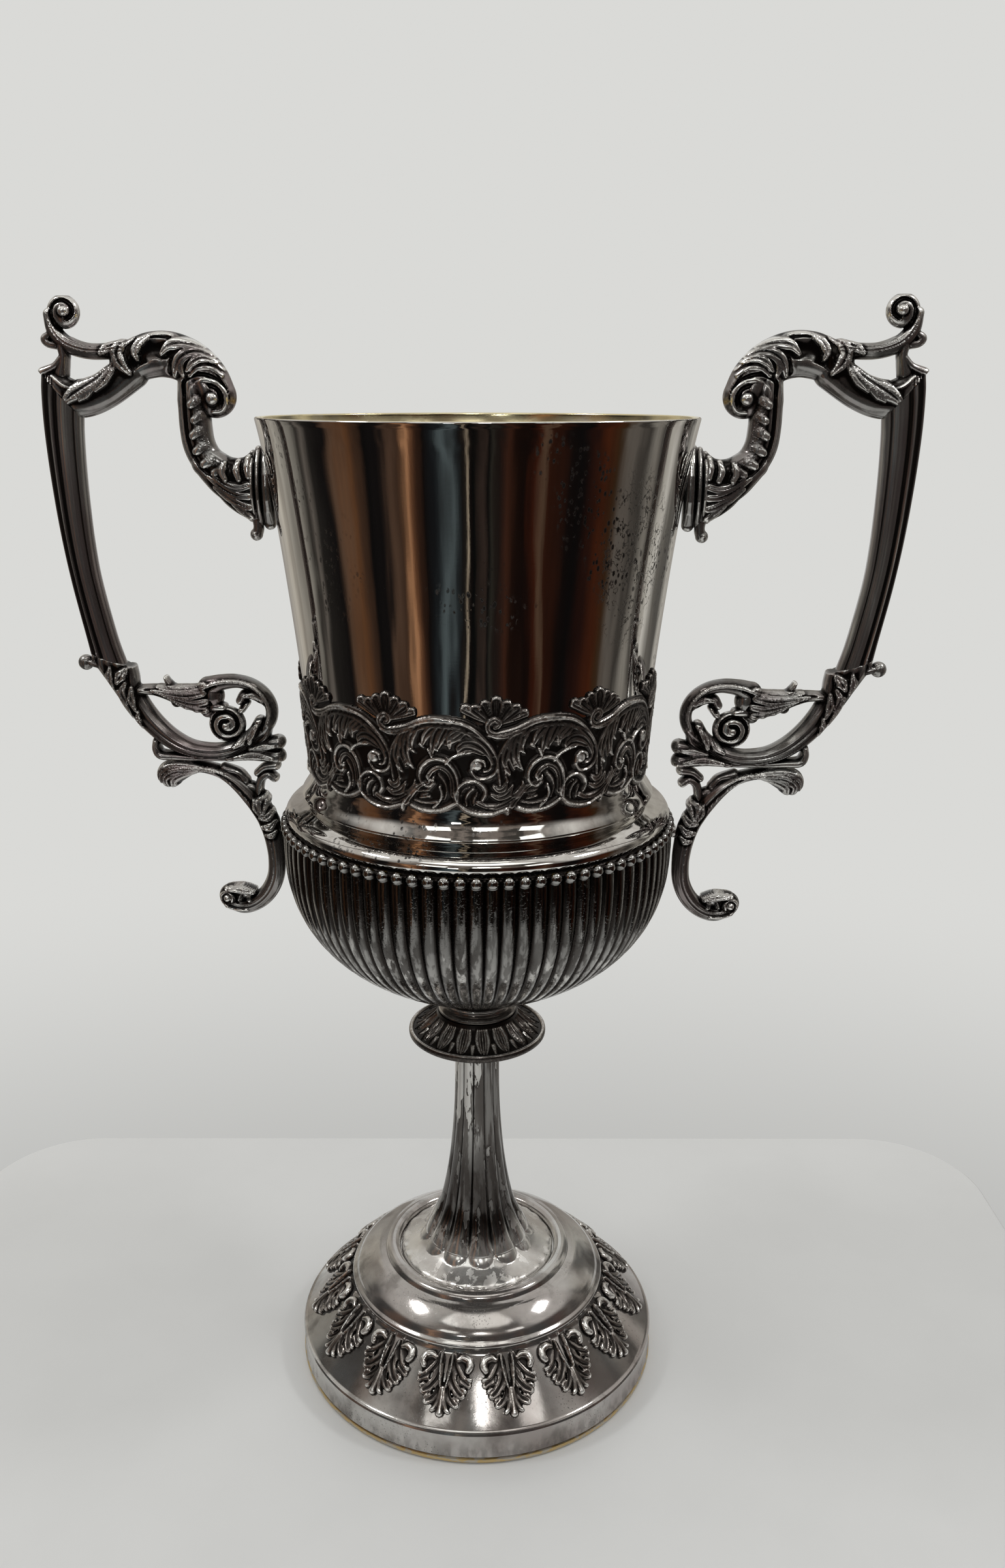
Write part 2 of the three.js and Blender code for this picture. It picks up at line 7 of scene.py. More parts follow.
import bpy
import numpy as np
import openvdb as vdb
from bpy.props import FloatProperty, FloatVectorProperty, IntProperty, PointerProperty
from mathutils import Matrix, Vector


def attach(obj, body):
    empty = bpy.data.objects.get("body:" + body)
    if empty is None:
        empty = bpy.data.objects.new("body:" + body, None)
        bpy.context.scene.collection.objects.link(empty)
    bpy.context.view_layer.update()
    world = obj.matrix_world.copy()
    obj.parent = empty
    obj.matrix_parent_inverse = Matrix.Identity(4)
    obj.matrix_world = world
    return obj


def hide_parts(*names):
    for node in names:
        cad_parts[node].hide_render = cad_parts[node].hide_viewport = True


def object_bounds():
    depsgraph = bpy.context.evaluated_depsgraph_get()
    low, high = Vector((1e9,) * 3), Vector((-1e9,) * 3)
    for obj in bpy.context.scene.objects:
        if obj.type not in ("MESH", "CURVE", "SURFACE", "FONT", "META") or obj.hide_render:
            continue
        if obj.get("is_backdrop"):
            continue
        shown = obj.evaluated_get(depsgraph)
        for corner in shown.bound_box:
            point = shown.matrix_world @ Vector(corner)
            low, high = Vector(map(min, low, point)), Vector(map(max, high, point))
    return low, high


bl_info = {
    "name": "Silver cup trophy",
    "version": (1, 0, 0),
    "blender": (4, 5, 0),
    "location": "3D View > Sidebar > Trophy",
    "description": "Builds the worn silver plate of a two-handled cup round its CAD frame",
    "category": "Add Mesh",
}

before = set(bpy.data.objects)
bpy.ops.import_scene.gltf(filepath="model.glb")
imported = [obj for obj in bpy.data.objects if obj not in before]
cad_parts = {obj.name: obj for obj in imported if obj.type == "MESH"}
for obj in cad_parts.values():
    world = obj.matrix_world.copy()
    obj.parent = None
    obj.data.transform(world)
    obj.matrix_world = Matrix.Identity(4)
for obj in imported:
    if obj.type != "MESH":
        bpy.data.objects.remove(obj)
CAD_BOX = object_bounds()

MM = 0.001
FULL_TURN = 2 * math.pi


# ------------------------------------------------------------------ settings


class CupShapeSettings(bpy.types.PropertyGroup):
    """Counts and depths of the cup's ornament."""

    bowl_reeds: IntProperty(
        name="Bowl reeds", description="Reeds round the bowl, each with a bead on top",
        default=84, min=12,
    )
    reed_depth: FloatProperty(
        name="Reed depth", description="Depth of the grooves between the reeds, in millimetres",
        default=1.5, min=0.1,
    )
    bead_radius: FloatProperty(
        name="Bead radius", description="Radius of the beads under the shoulder, in millimetres",
        default=2.3, min=0.2,
    )
    stem_lobes: IntProperty(
        name="Stem lobes", description="Rounded lobes round the stem", default=12, min=3,
    )
    frieze_height: FloatProperty(
        name="Frieze relief", description="Height of the frieze over the wall, in millimetres",
        default=1.7, min=0.1,
    )
    leaf_height: FloatProperty(
        name="Foot leaf relief", description="Height of the foot's leaves, in millimetres",
        default=2.1, min=0.1,
    )


class CupFinishSettings(bpy.types.PropertyGroup):
    """Colours and polish of the metals."""

    silver: FloatVectorProperty(
        name="Silver", description="Clean silver plate", subtype="COLOR",
        default=(0.86, 0.85, 0.82), min=0, max=1,
    )
    tarnish: FloatVectorProperty(
        name="Tarnish", description="Brown film on old silver plate", subtype="COLOR",
        default=(0.42, 0.38, 0.35), min=0, max=1,
    )
    oxide: FloatVectorProperty(
        name="Oxide", description="Black oxide in the hollows of the ornament", subtype="COLOR",
        default=(0.030, 0.026, 0.024), min=0, max=1,
    )
    toning: FloatVectorProperty(
        name="Toning", description="Purple-brown toning on the handles", subtype="COLOR",
        default=(0.36, 0.29, 0.29), min=0, max=1,
    )
    gilt: FloatVectorProperty(
        name="Gilt", description="Pale gilding inside the cup", subtype="COLOR",
        default=(0.86, 0.76, 0.48), min=0, max=1,
    )
    brass: FloatVectorProperty(
        name="Brass", description="Bare brass where the plate is worn off", subtype="COLOR",
        default=(0.62, 0.46, 0.22), min=0, max=1,
    )
    steel: FloatVectorProperty(
        name="Steel", description="Plain steel of the stud and washer", subtype="COLOR",
        default=(0.46, 0.46, 0.47), min=0, max=1,
    )
    polish: FloatProperty(
        name="Polish", description="Roughness of the polished wall",
        default=0.022, min=0, max=1, subtype="FACTOR",
    )


class StageSettings(bpy.types.PropertyGroup):
    """Floor, light and camera."""

    floor: FloatVectorProperty(
        name="Floor", description="Colour of the floor", subtype="COLOR",
        default=(0.70, 0.70, 0.695), min=0, max=1,
    )
    sky: FloatVectorProperty(
        name="Surroundings", description="Colour of the pale room", subtype="COLOR",
        default=(0.70, 0.70, 0.68), min=0, max=1,
    )
    lamp_power: FloatProperty(
        name="Lamp power", description="Power of each soft lamp", default=2.2, min=0, unit="POWER",
    )
    camera_back: FloatProperty(
        name="Camera distance", description="From the cup's axis, in metres",
        default=0.4719, min=0.1, unit="LENGTH",
    )
    camera_height: FloatProperty(
        name="Camera height", description="Above the table, in metres",
        default=0.3899, min=0, unit="LENGTH",
    )
    camera_pitch: FloatProperty(
        name="Camera pitch", description="How far the camera looks down",
        default=math.radians(16.86), subtype="ANGLE",
    )
    camera_roll: FloatProperty(
        name="Camera roll", description="How far the camera leans sideways",
        default=math.radians(0.05), subtype="ANGLE",
    )
    camera_turn: FloatProperty(
        name="Camera turn", description="How far the camera stands round the cup from its front",
        default=math.radians(2.4), subtype="ANGLE",
    )
    lens: FloatProperty(
        name="Lens", description="Focal length in millimetres", default=29.92, min=1,
    )
    shift: FloatProperty(
        name="Shift", description="Sideways shift of the frame", default=0.0160,
    )


# ------------------------------------------------------------------ curves and outlines


def spline(points, count):
    """Evenly spaced points on a smooth curve through the given ones."""
    knots = np.asarray(points, float)
    ends = np.vstack([2 * knots[0] - knots[1], knots, 2 * knots[-1] - knots[-2]])
    t = np.linspace(0, 1, 16, endpoint=False)[:, None]
    runs = [
        0.5 * (2 * b + (c - a) * t + (2 * a - 5 * b + 4 * c - d) * t**2 + (3 * b - a - 3 * c + d) * t**3)
        for a, b, c, d in zip(ends, ends[1:], ends[2:], ends[3:])
    ]
    return evenly(np.vstack([*runs, knots[-1:]]), count)


def distances(line):
    """Length of a line up to each of its points."""
    return np.concatenate([[0], np.cumsum(np.linalg.norm(np.diff(line, axis=0), axis=1))])


def evenly(dense, count):
    """The same line with evenly spaced points."""
    along = distances(dense)
    wanted = np.linspace(0, along[-1], count)
    return np.column_stack([np.interp(wanted, along, dense[:, k]) for k in range(dense.shape[1])])


def outline(step, *runs):
    """Smooth runs of [radius, height] joined end to end, with a point about every step. The corners
    between runs stay sharp."""
    joined = []
    for run in runs:
        smooth = spline(run, max(2, round(distances(run)[-1] / step) + 1))
        follows = joined and np.allclose(joined[-1][-1], smooth[0])
        joined.append(smooth[1:] if follows else smooth)
    return np.vstack(joined)


def bezier(start, start_pull, end_pull, end, count=13):
    """Points on a cubic curve."""
    t = np.linspace(0, 1, count)[:, None]
    a, b, c, d = (np.asarray(p, float) for p in (start, start_pull, end_pull, end))
    return a * (1 - t) ** 3 + 3 * b * t * (1 - t) ** 2 + 3 * c * t**2 * (1 - t) + d * t**3


def outward(profile):
    """Unit normals of a profile that runs up its outside and down its inside."""
    along = np.gradient(profile, axis=0)
    along /= np.linalg.norm(along, axis=1, keepdims=True)
    return np.column_stack([along[:, 1], -along[:, 0]])


def ramp(value, low, high):
    """0 below low, 1 above high, smooth between."""
    t = np.clip((value - low) / (high - low), 0, 1)
    return t * t * (3 - 2 * t)


def bell(value, middle, width):
    """1 at a middle value, fading to both sides over about a width."""
    return np.exp(-(((value - middle) / width) ** 2))


def graded(share, values):
    """Evenly spread values, read off at shares of the way through them."""
    return np.interp(share, np.linspace(0, 1, len(values)), values)


def round_axis(radius, angle, height):
    """Points round the cup's axis, from an angle of 0 at the front."""
    return np.stack([radius * np.sin(angle), -radius * np.cos(angle), height], axis=-1).reshape(-1, 3)


# ------------------------------------------------------------------ mesh making


def new_piece(name, points, faces, materials, replaced, sharp=40, numbers=None, sides=None):
    """One mesh that rides on the cup's only body and stands for the given CAD nodes. numbers holds
    its attributes, sides the material of each face, and sharp the degrees at which edges show."""
    mesh = bpy.data.meshes.new(name)
    mesh.from_pydata((points * MM).tolist(), [], faces)
    for material in materials:
        mesh.materials.append(material)
    if sides is not None:
        mesh.polygons.foreach_set("material_index", np.asarray(sides, np.int32))
    for key, values in (numbers or {}).items():
        attribute = mesh.attributes.new(key, "FLOAT", "POINT")
        attribute.data.foreach_set("value", np.asarray(values, np.float32).ravel())
    mesh.validate()
    mesh.polygons.foreach_set("use_smooth", np.ones(len(mesh.polygons), bool))
    mesh.set_sharp_from_angle(angle=math.radians(sharp))
    piece = bpy.data.objects.new(name, mesh)
    bpy.context.scene.collection.objects.link(piece)
    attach(piece, "root")
    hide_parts(*replaced)


def grid_faces(rows, columns, wrap_rows=False, wrap_columns=False):
    """Quads over a grid of points, row by row."""
    last_row = rows if wrap_rows else rows - 1
    last_column = columns if wrap_columns else columns - 1
    i, j = np.meshgrid(np.arange(last_row), np.arange(last_column), indexing="ij")
    down, right = (i + 1) % rows, (j + 1) % columns
    corners = [i * columns + j, i * columns + right, down * columns + right, down * columns + j]
    return np.stack(corners, axis=-1).reshape(-1, 4)


def turned(name, profile, turns, materials, replaced, relief=None, inner_from=None, sharp=40):
    """Spins a profile round the axis. relief(ring, angles) gives how far the surface is lifted off
    it in millimetres, and its attributes. From the row inner_from on, faces take the second
    material."""
    angles = np.arange(turns) * FULL_TURN / turns
    closed = np.allclose(profile[0], profile[-1])
    ring = profile[:-1] if closed else profile
    lift, numbers = relief(ring, angles) if relief else (0 * angles, {})
    normals = outward(ring)
    radius = ring[:, :1] + normals[:, :1] * lift
    height = ring[:, 1:] + normals[:, 1:] * lift
    points = round_axis(radius, angles, height)
    quads = grid_faces(len(ring), turns, wrap_rows=closed, wrap_columns=True)
    sides = None
    if inner_from is not None:
        sides = (quads[:, 0] // turns >= inner_from).astype(int)
    faces = quads.tolist()
    if not closed:
        first, last = list(range(turns)), list(range(len(points) - turns, len(points)))
        faces += [first[::-1], last]
        if sides is not None:
            sides = np.concatenate([sides, [0, 1]])
    new_piece(name, points, faces, materials, replaced, sharp, numbers, sides)


# ------------------------------------------------------------------ carving reliefs


def near_curve(x, y, curve):
    """Distance from each place to a curve, the share of its length at the nearest point, and which
    side of the curve the place is on."""
    best = np.full(x.shape, np.inf)
    share, side = np.zeros(x.shape), np.ones(x.shape)
    spans = len(curve) - 1
    for k, (start, end) in enumerate(zip(curve, curve[1:])):
        run = end - start
        t = np.clip(((x - start[0]) * run[0] + (y - start[1]) * run[1]) / max(run @ run, 1e-9), 0, 1)
        off_x, off_y = x - start[0] - run[0] * t, y - start[1] - run[1] * t
        gap = off_x**2 + off_y**2
        near = gap < best
        best[near] = gap[near]
        share[near] = ((k + t) / spans)[near]
        side[near] = np.sign(run[0] * off_y - run[1] * off_x)[near]
    return np.sqrt(best), share, side


def section(kind, across):
    """Height of a stroke across its half width, from 0 at the middle to 1 at the edge."""
    across = np.clip(across, 0, 1)
    dome = np.sqrt(1 - across**2)
    if kind == "round":
        return dome
    if kind == "channel":
        return dome**0.7 * (1 - 0.55 * bell(across, 0, 0.42))
    edge = (1 - across**4) ** 0.5
    if kind == "leaf":
        return edge * (0.80 + 0.20 * across**2) - 0.30 * bell(across, 0, 0.16)
    return edge * (0.72 + 0.28 * np.cos(2 * math.pi * across))


class Carving:
    """A height map in millimetres over a flat patch, built up from strokes."""

    def __init__(self, x, y, repeat=None):
        self.x, self.y, self.repeat = x, y, repeat
        self.height = np.zeros(x.shape)
        self.matted = np.zeros(x.shape)

    def stroke(self, kind, width, height, points, taper=(1, 1), lift=(1, 1), matted=False):
        """A ridge of a half width along a smooth curve, or a groove of that depth. taper scales its
        width along its length, and lift its height."""
        curve = spline(points, 6 * len(points))
        for shift in (0,) if self.repeat is None else (-self.repeat, 0, self.repeat):
            moved = curve + (shift, 0)
            low, high = moved.min(0) - width * max(taper), moved.max(0) + width * max(taper)
            near = (self.x > low[0]) & (self.x < high[0]) & (self.y > low[1]) & (self.y < high[1])
            if not near.any():
                continue
            gap, share, _ = near_curve(self.x[near], self.y[near], moved)
            across = gap / np.maximum(width * graded(share, taper), 1e-6)
            rise = height * graded(share, lift)
            old = self.height[near]
            if kind == "groove":
                new = old - rise * (1 - np.clip(across, 0, 1) ** 2)
            else:
                new = np.maximum(old, rise * section(kind, across))
            self.height[near] = np.where(across < 1, new, old)
            if matted:
                self.matted[near] = np.where((across < 0.96) & (new > old), 1, self.matted[near])

    def strokes(self, kind, width, height, rows, **shared):
        """Strokes of one kind. A row is a list of points, or a tuple of that and a width, or a width
        and a height, of its own."""
        for row in rows:
            points, *own = row if isinstance(row, tuple) else (row,)
            sizes = (*own, *(width, height)[len(own):])
            self.stroke(kind, *sizes, points, **shared)

    def ball(self, radius, height, centre):
        """A round boss."""
        self.stroke("round", radius, height, [centre, (centre[0] + 0.01, centre[1])])

    def softened(self):
        """The height map with its sharpest steps rounded off."""
        return blurred(self.height, 1) * 0.5 + self.height * 0.5

    def rubbed(self, base, contrast, rise):
        """How bright each place is made, brighter the more it stands out: partly rubbing wear, partly
        painted highlight.
        """
        smooth, around = self.softened(), blurred(blurred(self.height, 5), 5)
        return np.clip(base + (smooth - around) * contrast + smooth * rise, 0, 1)


def blurred(field, reach):
    """Box blur along every axis of a grid."""
    for axis in range(field.ndim):
        size = 2 * reach + 1
        padding = [(0, 0)] * field.ndim
        padding[axis] = (reach + 1, reach)
        sums = np.cumsum(np.pad(field, padding, mode="edge"), axis=axis, dtype=np.float64)
        ahead = np.take(sums, range(size, sums.shape[axis]), axis=axis)
        behind = np.take(sums, range(sums.shape[axis] - size), axis=axis)
        field = ((ahead - behind) / size).astype(np.float32)
    return field


# ------------------------------------------------------------------ shader expressions


class Value:
    """The output of a shader node. Arithmetic with it adds Math nodes."""

    def __init__(self, graph, socket):
        self.graph, self.socket = graph, socket

    def apply(self, operation, first, second=0.0):
        """One Math node."""
        return self.graph.add("ShaderNodeMath", {"operation": operation}, {0: first, 1: second})

    def __add__(self, other):
        return self.apply("ADD", self, other)

    __radd__ = __add__

    def __sub__(self, other):
        return self.apply("SUBTRACT", self, other)

    def __rsub__(self, other):
        return self.apply("SUBTRACT", other, self)

    def __mul__(self, other):
        return self.apply("MULTIPLY", self, other)

    __rmul__ = __mul__

    def __truediv__(self, other):
        return self.apply("DIVIDE", self, other)

    def near(self, middle, reach):
        """1 at a value, and 0 further from it than reach."""
        away = self.apply("ABSOLUTE", self - middle)
        return 1 - away.over(reach * 0.5, reach)

    def over(self, low, high):
        """0 below low and 1 above high, smooth between."""
        return self.graph.add(
            "ShaderNodeMapRange", {"interpolation_type": "SMOOTHSTEP"}, {0: self, 1: low, 2: high},
        )


class Graph:
    """The nodes of one material or of the world."""

    def __init__(self, owner):
        owner.use_nodes = True
        self.tree = owner.node_tree
        self.tree.nodes.clear()

    def add(self, kind, settings=None, inputs=None, output=0):
        """Adds a node: its settings first, then the values or links of its sockets."""
        node = self.tree.nodes.new(kind)
        for key, value in (settings or {}).items():
            if key == "stops":
                self._set_stops(node.color_ramp.elements, value)
            else:
                setattr(node, key, value)
        for key, value in (inputs or {}).items():
            if isinstance(value, Value):
                self.tree.links.new(value.socket, node.inputs[key])
            else:
                node.inputs[key].default_value = value
        return Value(self, node.outputs[output]) if node.outputs else None

    def _set_stops(self, elements, stops):
        """Fills a colour ramp."""
        for k, (place, colour) in enumerate(stops):
            element = elements[k] if k < len(elements) else elements.new(place)
            element.position, element.color = place, (*colour, 1)

    def place(self):
        """The place on the cup in metres."""
        return self.add("ShaderNodeTexCoord", output="Object")

    def mapped(self, stretch, turn=0.0):
        """The place with each axis scaled, moved aside by a turn."""
        sockets = {"Vector": self.place(), "Scale": stretch, "Location": (turn, turn, 0)}
        return self.add("ShaderNodeMapping", {}, sockets)

    def noise(self, scale, detail=3.0, stretch=(1, 1, 1), turn=0.0):
        """Noise about 0.5."""
        vector = self.mapped(stretch, turn)
        sockets = {"Vector": vector, "Scale": scale, "Detail": detail, "Roughness": 0.55}
        return self.add("ShaderNodeTexNoise", {}, sockets)

    def speckle(self, scale, stretch=(1, 1, 1)):
        """Distance to scattered points, in cells."""
        return self.add("ShaderNodeTexVoronoi", {}, {"Vector": self.mapped(stretch), "Scale": scale})

    def number(self, name):
        """A number kept on the mesh."""
        return self.add("ShaderNodeAttribute", {"attribute_name": name}, output="Fac")

    def axis(self, key):
        """One coordinate of the place in metres."""
        return self.add("ShaderNodeSeparateXYZ", {}, {0: self.place()}, output=key)

    def height(self):
        """Height above the table in metres."""
        return self.axis("Z")

    def away(self, centre, stretch):
        """Distance from a point in metres, with each axis scaled."""
        moved = self.add("ShaderNodeVectorMath", {"operation": "SUBTRACT"}, {0: self.place(), 1: centre})
        scaled = self.add("ShaderNodeVectorMath", {"operation": "MULTIPLY"}, {0: moved, 1: stretch})
        return self.add("ShaderNodeVectorMath", {"operation": "LENGTH"}, {0: scaled}, output="Value")

    def blend(self, factor, first, second):
        """One colour going over to another."""
        sockets = {"Factor": factor, 6: rgba(first), 7: rgba(second)}
        return self.add("ShaderNodeMix", {"data_type": "RGBA"}, sockets, output=2)

    def bump(self, height, distance, strength):
        """A normal that follows a height, over a distance in metres."""
        sockets = {"Height": height, "Distance": distance, "Strength": strength}
        return self.add("ShaderNodeBump", {}, sockets)


def rgba(colour):
    """A shader link as it is, or a colour with its alpha."""
    return colour if isinstance(colour, Value) else (*colour, 1)


def metal(name, make, metallic=1.0):
    """A metal whose colour, roughness and normal come from make(graph), and its metallic share
    too where that changes over the surface."""
    material = bpy.data.materials.new(name)
    graph = Graph(material)
    colour, roughness, normal, *share = make(graph)
    metallic = share[0] if share else metallic
    surface = graph.add("ShaderNodeBsdfPrincipled", {}, {
        "Metallic": metallic, "Base Color": rgba(colour), "Roughness": roughness, "Normal": normal,
    })
    graph.add("ShaderNodeOutputMaterial", {}, {"Surface": surface})
    return material


# ------------------------------------------------------------------ finishes


def shaded(colour, share):
    """A colour made lighter or darker."""
    return tuple(min(1.0, channel * share) for channel in colour)


def polished_plate(finish):
    """Mirror polish: thin brown film, pits in patches, fine upright scratches, and upright streaks that are
    partly tarnish and partly painted reflection.
    """
    def make(graph):
        film = graph.noise(26, 4, (1, 1, 0.35)).over(0.36, 0.72)
        streaks = graph.noise(240, 3, (1, 1, 0.03)).over(0.46, 0.74)
        patches = graph.noise(19, 3, turn=4.0).over(0.53, 0.61)
        pits = 1 - graph.speckle(640, (1, 1, 0.6)).over(0.26, 0.44)
        worms = graph.noise(420, 2, (1, 1, 0.8)).near(0.5, 0.035)
        eaten = 1 - (graph.away((0.0535, -0.047, 0.338), (1, 1, 0.62)) + film * 0.008).over(0.014, 0.022)
        specks = pits * patches * graph.noise(260, 2).over(0.44, 0.52)
        specks = specks + worms * eaten * graph.noise(150, 2, turn=6.0).over(0.42, 0.50) * 0.8
        # Upright streaks pull the colour towards tarnish: partly tarnish, partly painted reflection of the
        # room's upright bands.
        colour = graph.blend(film * 0.65 + streaks * 0.3, finish.silver, finish.tarnish)
        colour = graph.blend(specks * 0.95, colour, finish.oxide)
        roughness = finish.polish + film * 0.02 + streaks * 0.04 + specks * 0.35
        upright, level = graph.noise(1500, 3, (1, 1, 0.02)), graph.noise(900, 2, (0.25, 0.25, 1))
        scratches = upright * 0.35 + level * 0.2
        return colour, roughness, graph.bump(scratches - specks * 0.8, 0.00002, 0.35)
    return metal("polished_plate", make)


def gilding(finish):
    """Pale gilding, rubbed through to silver here and there."""
    def make(graph):
        rubbed = graph.noise(55, 4).over(0.55, 0.75)
        stains = graph.noise(120, 3, turn=7.0).over(0.56, 0.72)
        colour = graph.blend(rubbed * 0.6, finish.gilt, finish.silver)
        colour = graph.blend(stains * 0.35, colour, shaded(finish.gilt, 0.45))
        return colour, 0.16 + stains * 0.12, graph.bump(graph.noise(700, 2), 0.00003, 0.3)
    return metal("gilding", make)


def foot_plate(finish):
    """Worn plate of the foot: a soft polish, mottled with grey and purple-brown."""
    def make(graph):
        clouds = graph.noise(38, 5).over(0.34, 0.68)
        toned = graph.noise(24, 4, turn=9.0).over(0.42, 0.66)
        blots = graph.noise(70, 5, (1, 1, 0.7), turn=2.0).over(0.52, 0.66)
        specks = 1 - graph.speckle(1100).over(0.08, 0.30)
        specks = specks * graph.noise(60, 3, turn=3.0).over(0.46, 0.62)
        low = 1 - graph.height().over(0.0026, 0.0125)
        worn = low * graph.noise(300, 3, (1, 1, 0.5)).over(0.40, 0.60)
        clean, dull = shaded(finish.silver, 0.75), shaded(finish.tarnish, 0.80)
        colour = graph.blend(clouds * 0.7 + low * 0.3, clean, dull)
        colour = graph.blend(toned * 0.32, colour, finish.toning)
        colour = graph.blend(blots * 0.55, colour, shaded(finish.tarnish, 0.42))
        colour = graph.blend(specks * 0.7 + worn * 0.35, colour, finish.oxide)
        roughness = 0.07 + clouds * 0.07 + specks * 0.25 + low * 0.14
        return colour, roughness, graph.bump(graph.noise(420, 3) - specks * 0.5, 0.00004, 0.35)
    return metal("foot_plate", make, metallic=0.9)


def ornament_silver(finish):
    """Cast ornament: black oxide in the hollows, and crests made bright and less metallic, partly rubbing
    wear and partly painted highlight.
    """
    def make(graph):
        grain = graph.noise(900, 3)
        crest = (graph.number("crest") + (grain - 0.5) * 0.3).over(0.38, 0.92)
        # Bright, less metallic crests: partly rubbing wear, partly painted highlight.
        bright = (graph.number("crest") + (grain - 0.5) * 0.5).over(0.76, 1.10)
        colour = graph.blend(crest, finish.oxide, shaded(finish.tarnish, 0.95))
        colour = graph.blend(bright, colour, finish.silver)
        roughness, metallic = 0.30 - crest * 0.17, 0.92 - bright * 0.22
        return colour, roughness, graph.bump(grain, 0.00006, 0.4), metallic
    return metal("ornament_silver", make)


def reeded_silver(finish):
    """The reeded bowl: oxide in the grooves with painted shade down the reeds' flanks, a painted dark
    reflection over the upper part, worn crests with upright streaks and pitting.
    """
    def make(graph):
        streaks = graph.noise(460, 4, (1, 1, 0.07)).over(0.42, 0.54)
        patches = graph.noise(60, 4, (1, 1, 0.5), turn=5.0).over(0.38, 0.66)
        flakes = graph.noise(230, 4, (1, 1, 0.13), turn=1.0).over(0.575, 0.62)
        upper = graph.height().over(0.186, 0.224)
        crest = graph.number("crest").over(0.42, 0.96)
        worn = graph.number("worn")
        mix = streaks * 0.62 + patches * 0.38
        colour = graph.blend(mix, shaded(finish.silver, 0.56), shaded(finish.tarnish, 0.20))
        # Painted dark reflection: the upper part of the bowl, under the shoulder, is made much darker.
        colour = graph.blend(upper * 0.70, colour, shaded(finish.silver, 0.11))
        colour = graph.blend(flakes * (1 - upper) * 0.8, colour, finish.silver)
        colour = graph.blend(worn * 0.6, colour, shaded(finish.silver, 0.62))
        # Oxide in the grooves, and painted shade down the flanks of each reed, so that only its crest stays
        # bright.
        colour = graph.blend(crest, finish.oxide, colour)
        pits = graph.noise(1300, 2).over(0.55, 0.7) * patches
        roughness = 0.20 - crest * 0.12 + streaks * 0.05 + pits * 0.2
        return colour, roughness, graph.bump(streaks * 0.6 + patches * 0.4 + pits, 0.00008, 0.5)
    return metal("reeded_silver", make)


def ring_silver(finish):
    """The neck rings: dark and glossy, with painted highlights along their edges."""
    def make(graph):
        stains = graph.noise(170, 4, (1, 1, 0.5), turn=5.0).over(0.40, 0.62)
        # Painted highlights: the bands kept in crest are made bright.
        rubbed = graph.number("crest").over(0.55, 1.0)
        colour = graph.blend(stains * 0.7, shaded(finish.tarnish, 0.62), shaded(finish.oxide, 2.5))
        colour = graph.blend(rubbed, colour, shaded(finish.silver, 0.9))
        return colour, 0.11 + stains * 0.06, graph.bump(stains, 0.00004, 0.3)
    return metal("ring_silver", make, metallic=0.92)


def stem_silver(finish):
    """The stem: grey and black upright streaks with pale flakes, and a skirt made pale and less metallic,
    partly clean plate and partly painted reflection.
    """
    def make(graph):
        streaks = graph.noise(400, 5, (1, 1, 0.07)).over(0.44, 0.54)
        blotches = graph.noise(90, 5, (1, 1, 0.35), turn=6.0).over(0.38, 0.58)
        plate = graph.noise(200, 5, (1, 1, 0.18), turn=2.0)
        flakes, flake_edge = plate.over(0.570, 0.585), plate.over(0.545, 0.565)
        # Below about 52 to 60 mm the skirt is pale: partly clean plate, partly painted reflection of bright
        # surroundings.
        pale = 1 - (graph.height() - streaks * 0.004).over(0.0515, 0.0600)
        clouds = graph.noise(75, 4, turn=4.0).over(0.35, 0.70)
        crest = graph.number("crest").over(0.10, 0.75)
        colour = graph.blend(streaks * 0.85, shaded(finish.silver, 0.56), shaded(finish.tarnish, 0.26))
        colour = graph.blend(blotches * 0.60, colour, shaded(finish.oxide, 2.2))
        colour = graph.blend(flake_edge * 0.8, colour, shaded(finish.oxide, 1.6))
        colour = graph.blend(flakes * 0.85, colour, shaded(finish.silver, 0.95))
        middle = graph.height().over(0.056, 0.066) * (1 - graph.height().over(0.080, 0.112))
        colour = graph.blend(middle * 0.72, colour, shaded(finish.oxide, 1.6))
        skirt = graph.blend(clouds * 0.5, shaded(finish.silver, 0.98), shaded(finish.tarnish, 1.1))
        colour = graph.blend(pale * 0.92, colour, skirt)
        colour = graph.blend(crest, finish.oxide, colour)
        roughness = 0.11 + blotches * 0.06 + flakes * 0.2 + pale * 0.04
        rough_plate = (streaks * 0.6 + flakes) * (1 - pale)
        # The skirt is less metallic, so that its pale colour, partly painted reflection, shows in diffuse
        # light.
        metallic = 0.96 - pale * 0.12
        return colour, roughness, graph.bump(rough_plate, 0.00008, 0.45), metallic
    return metal("stem_silver", make)


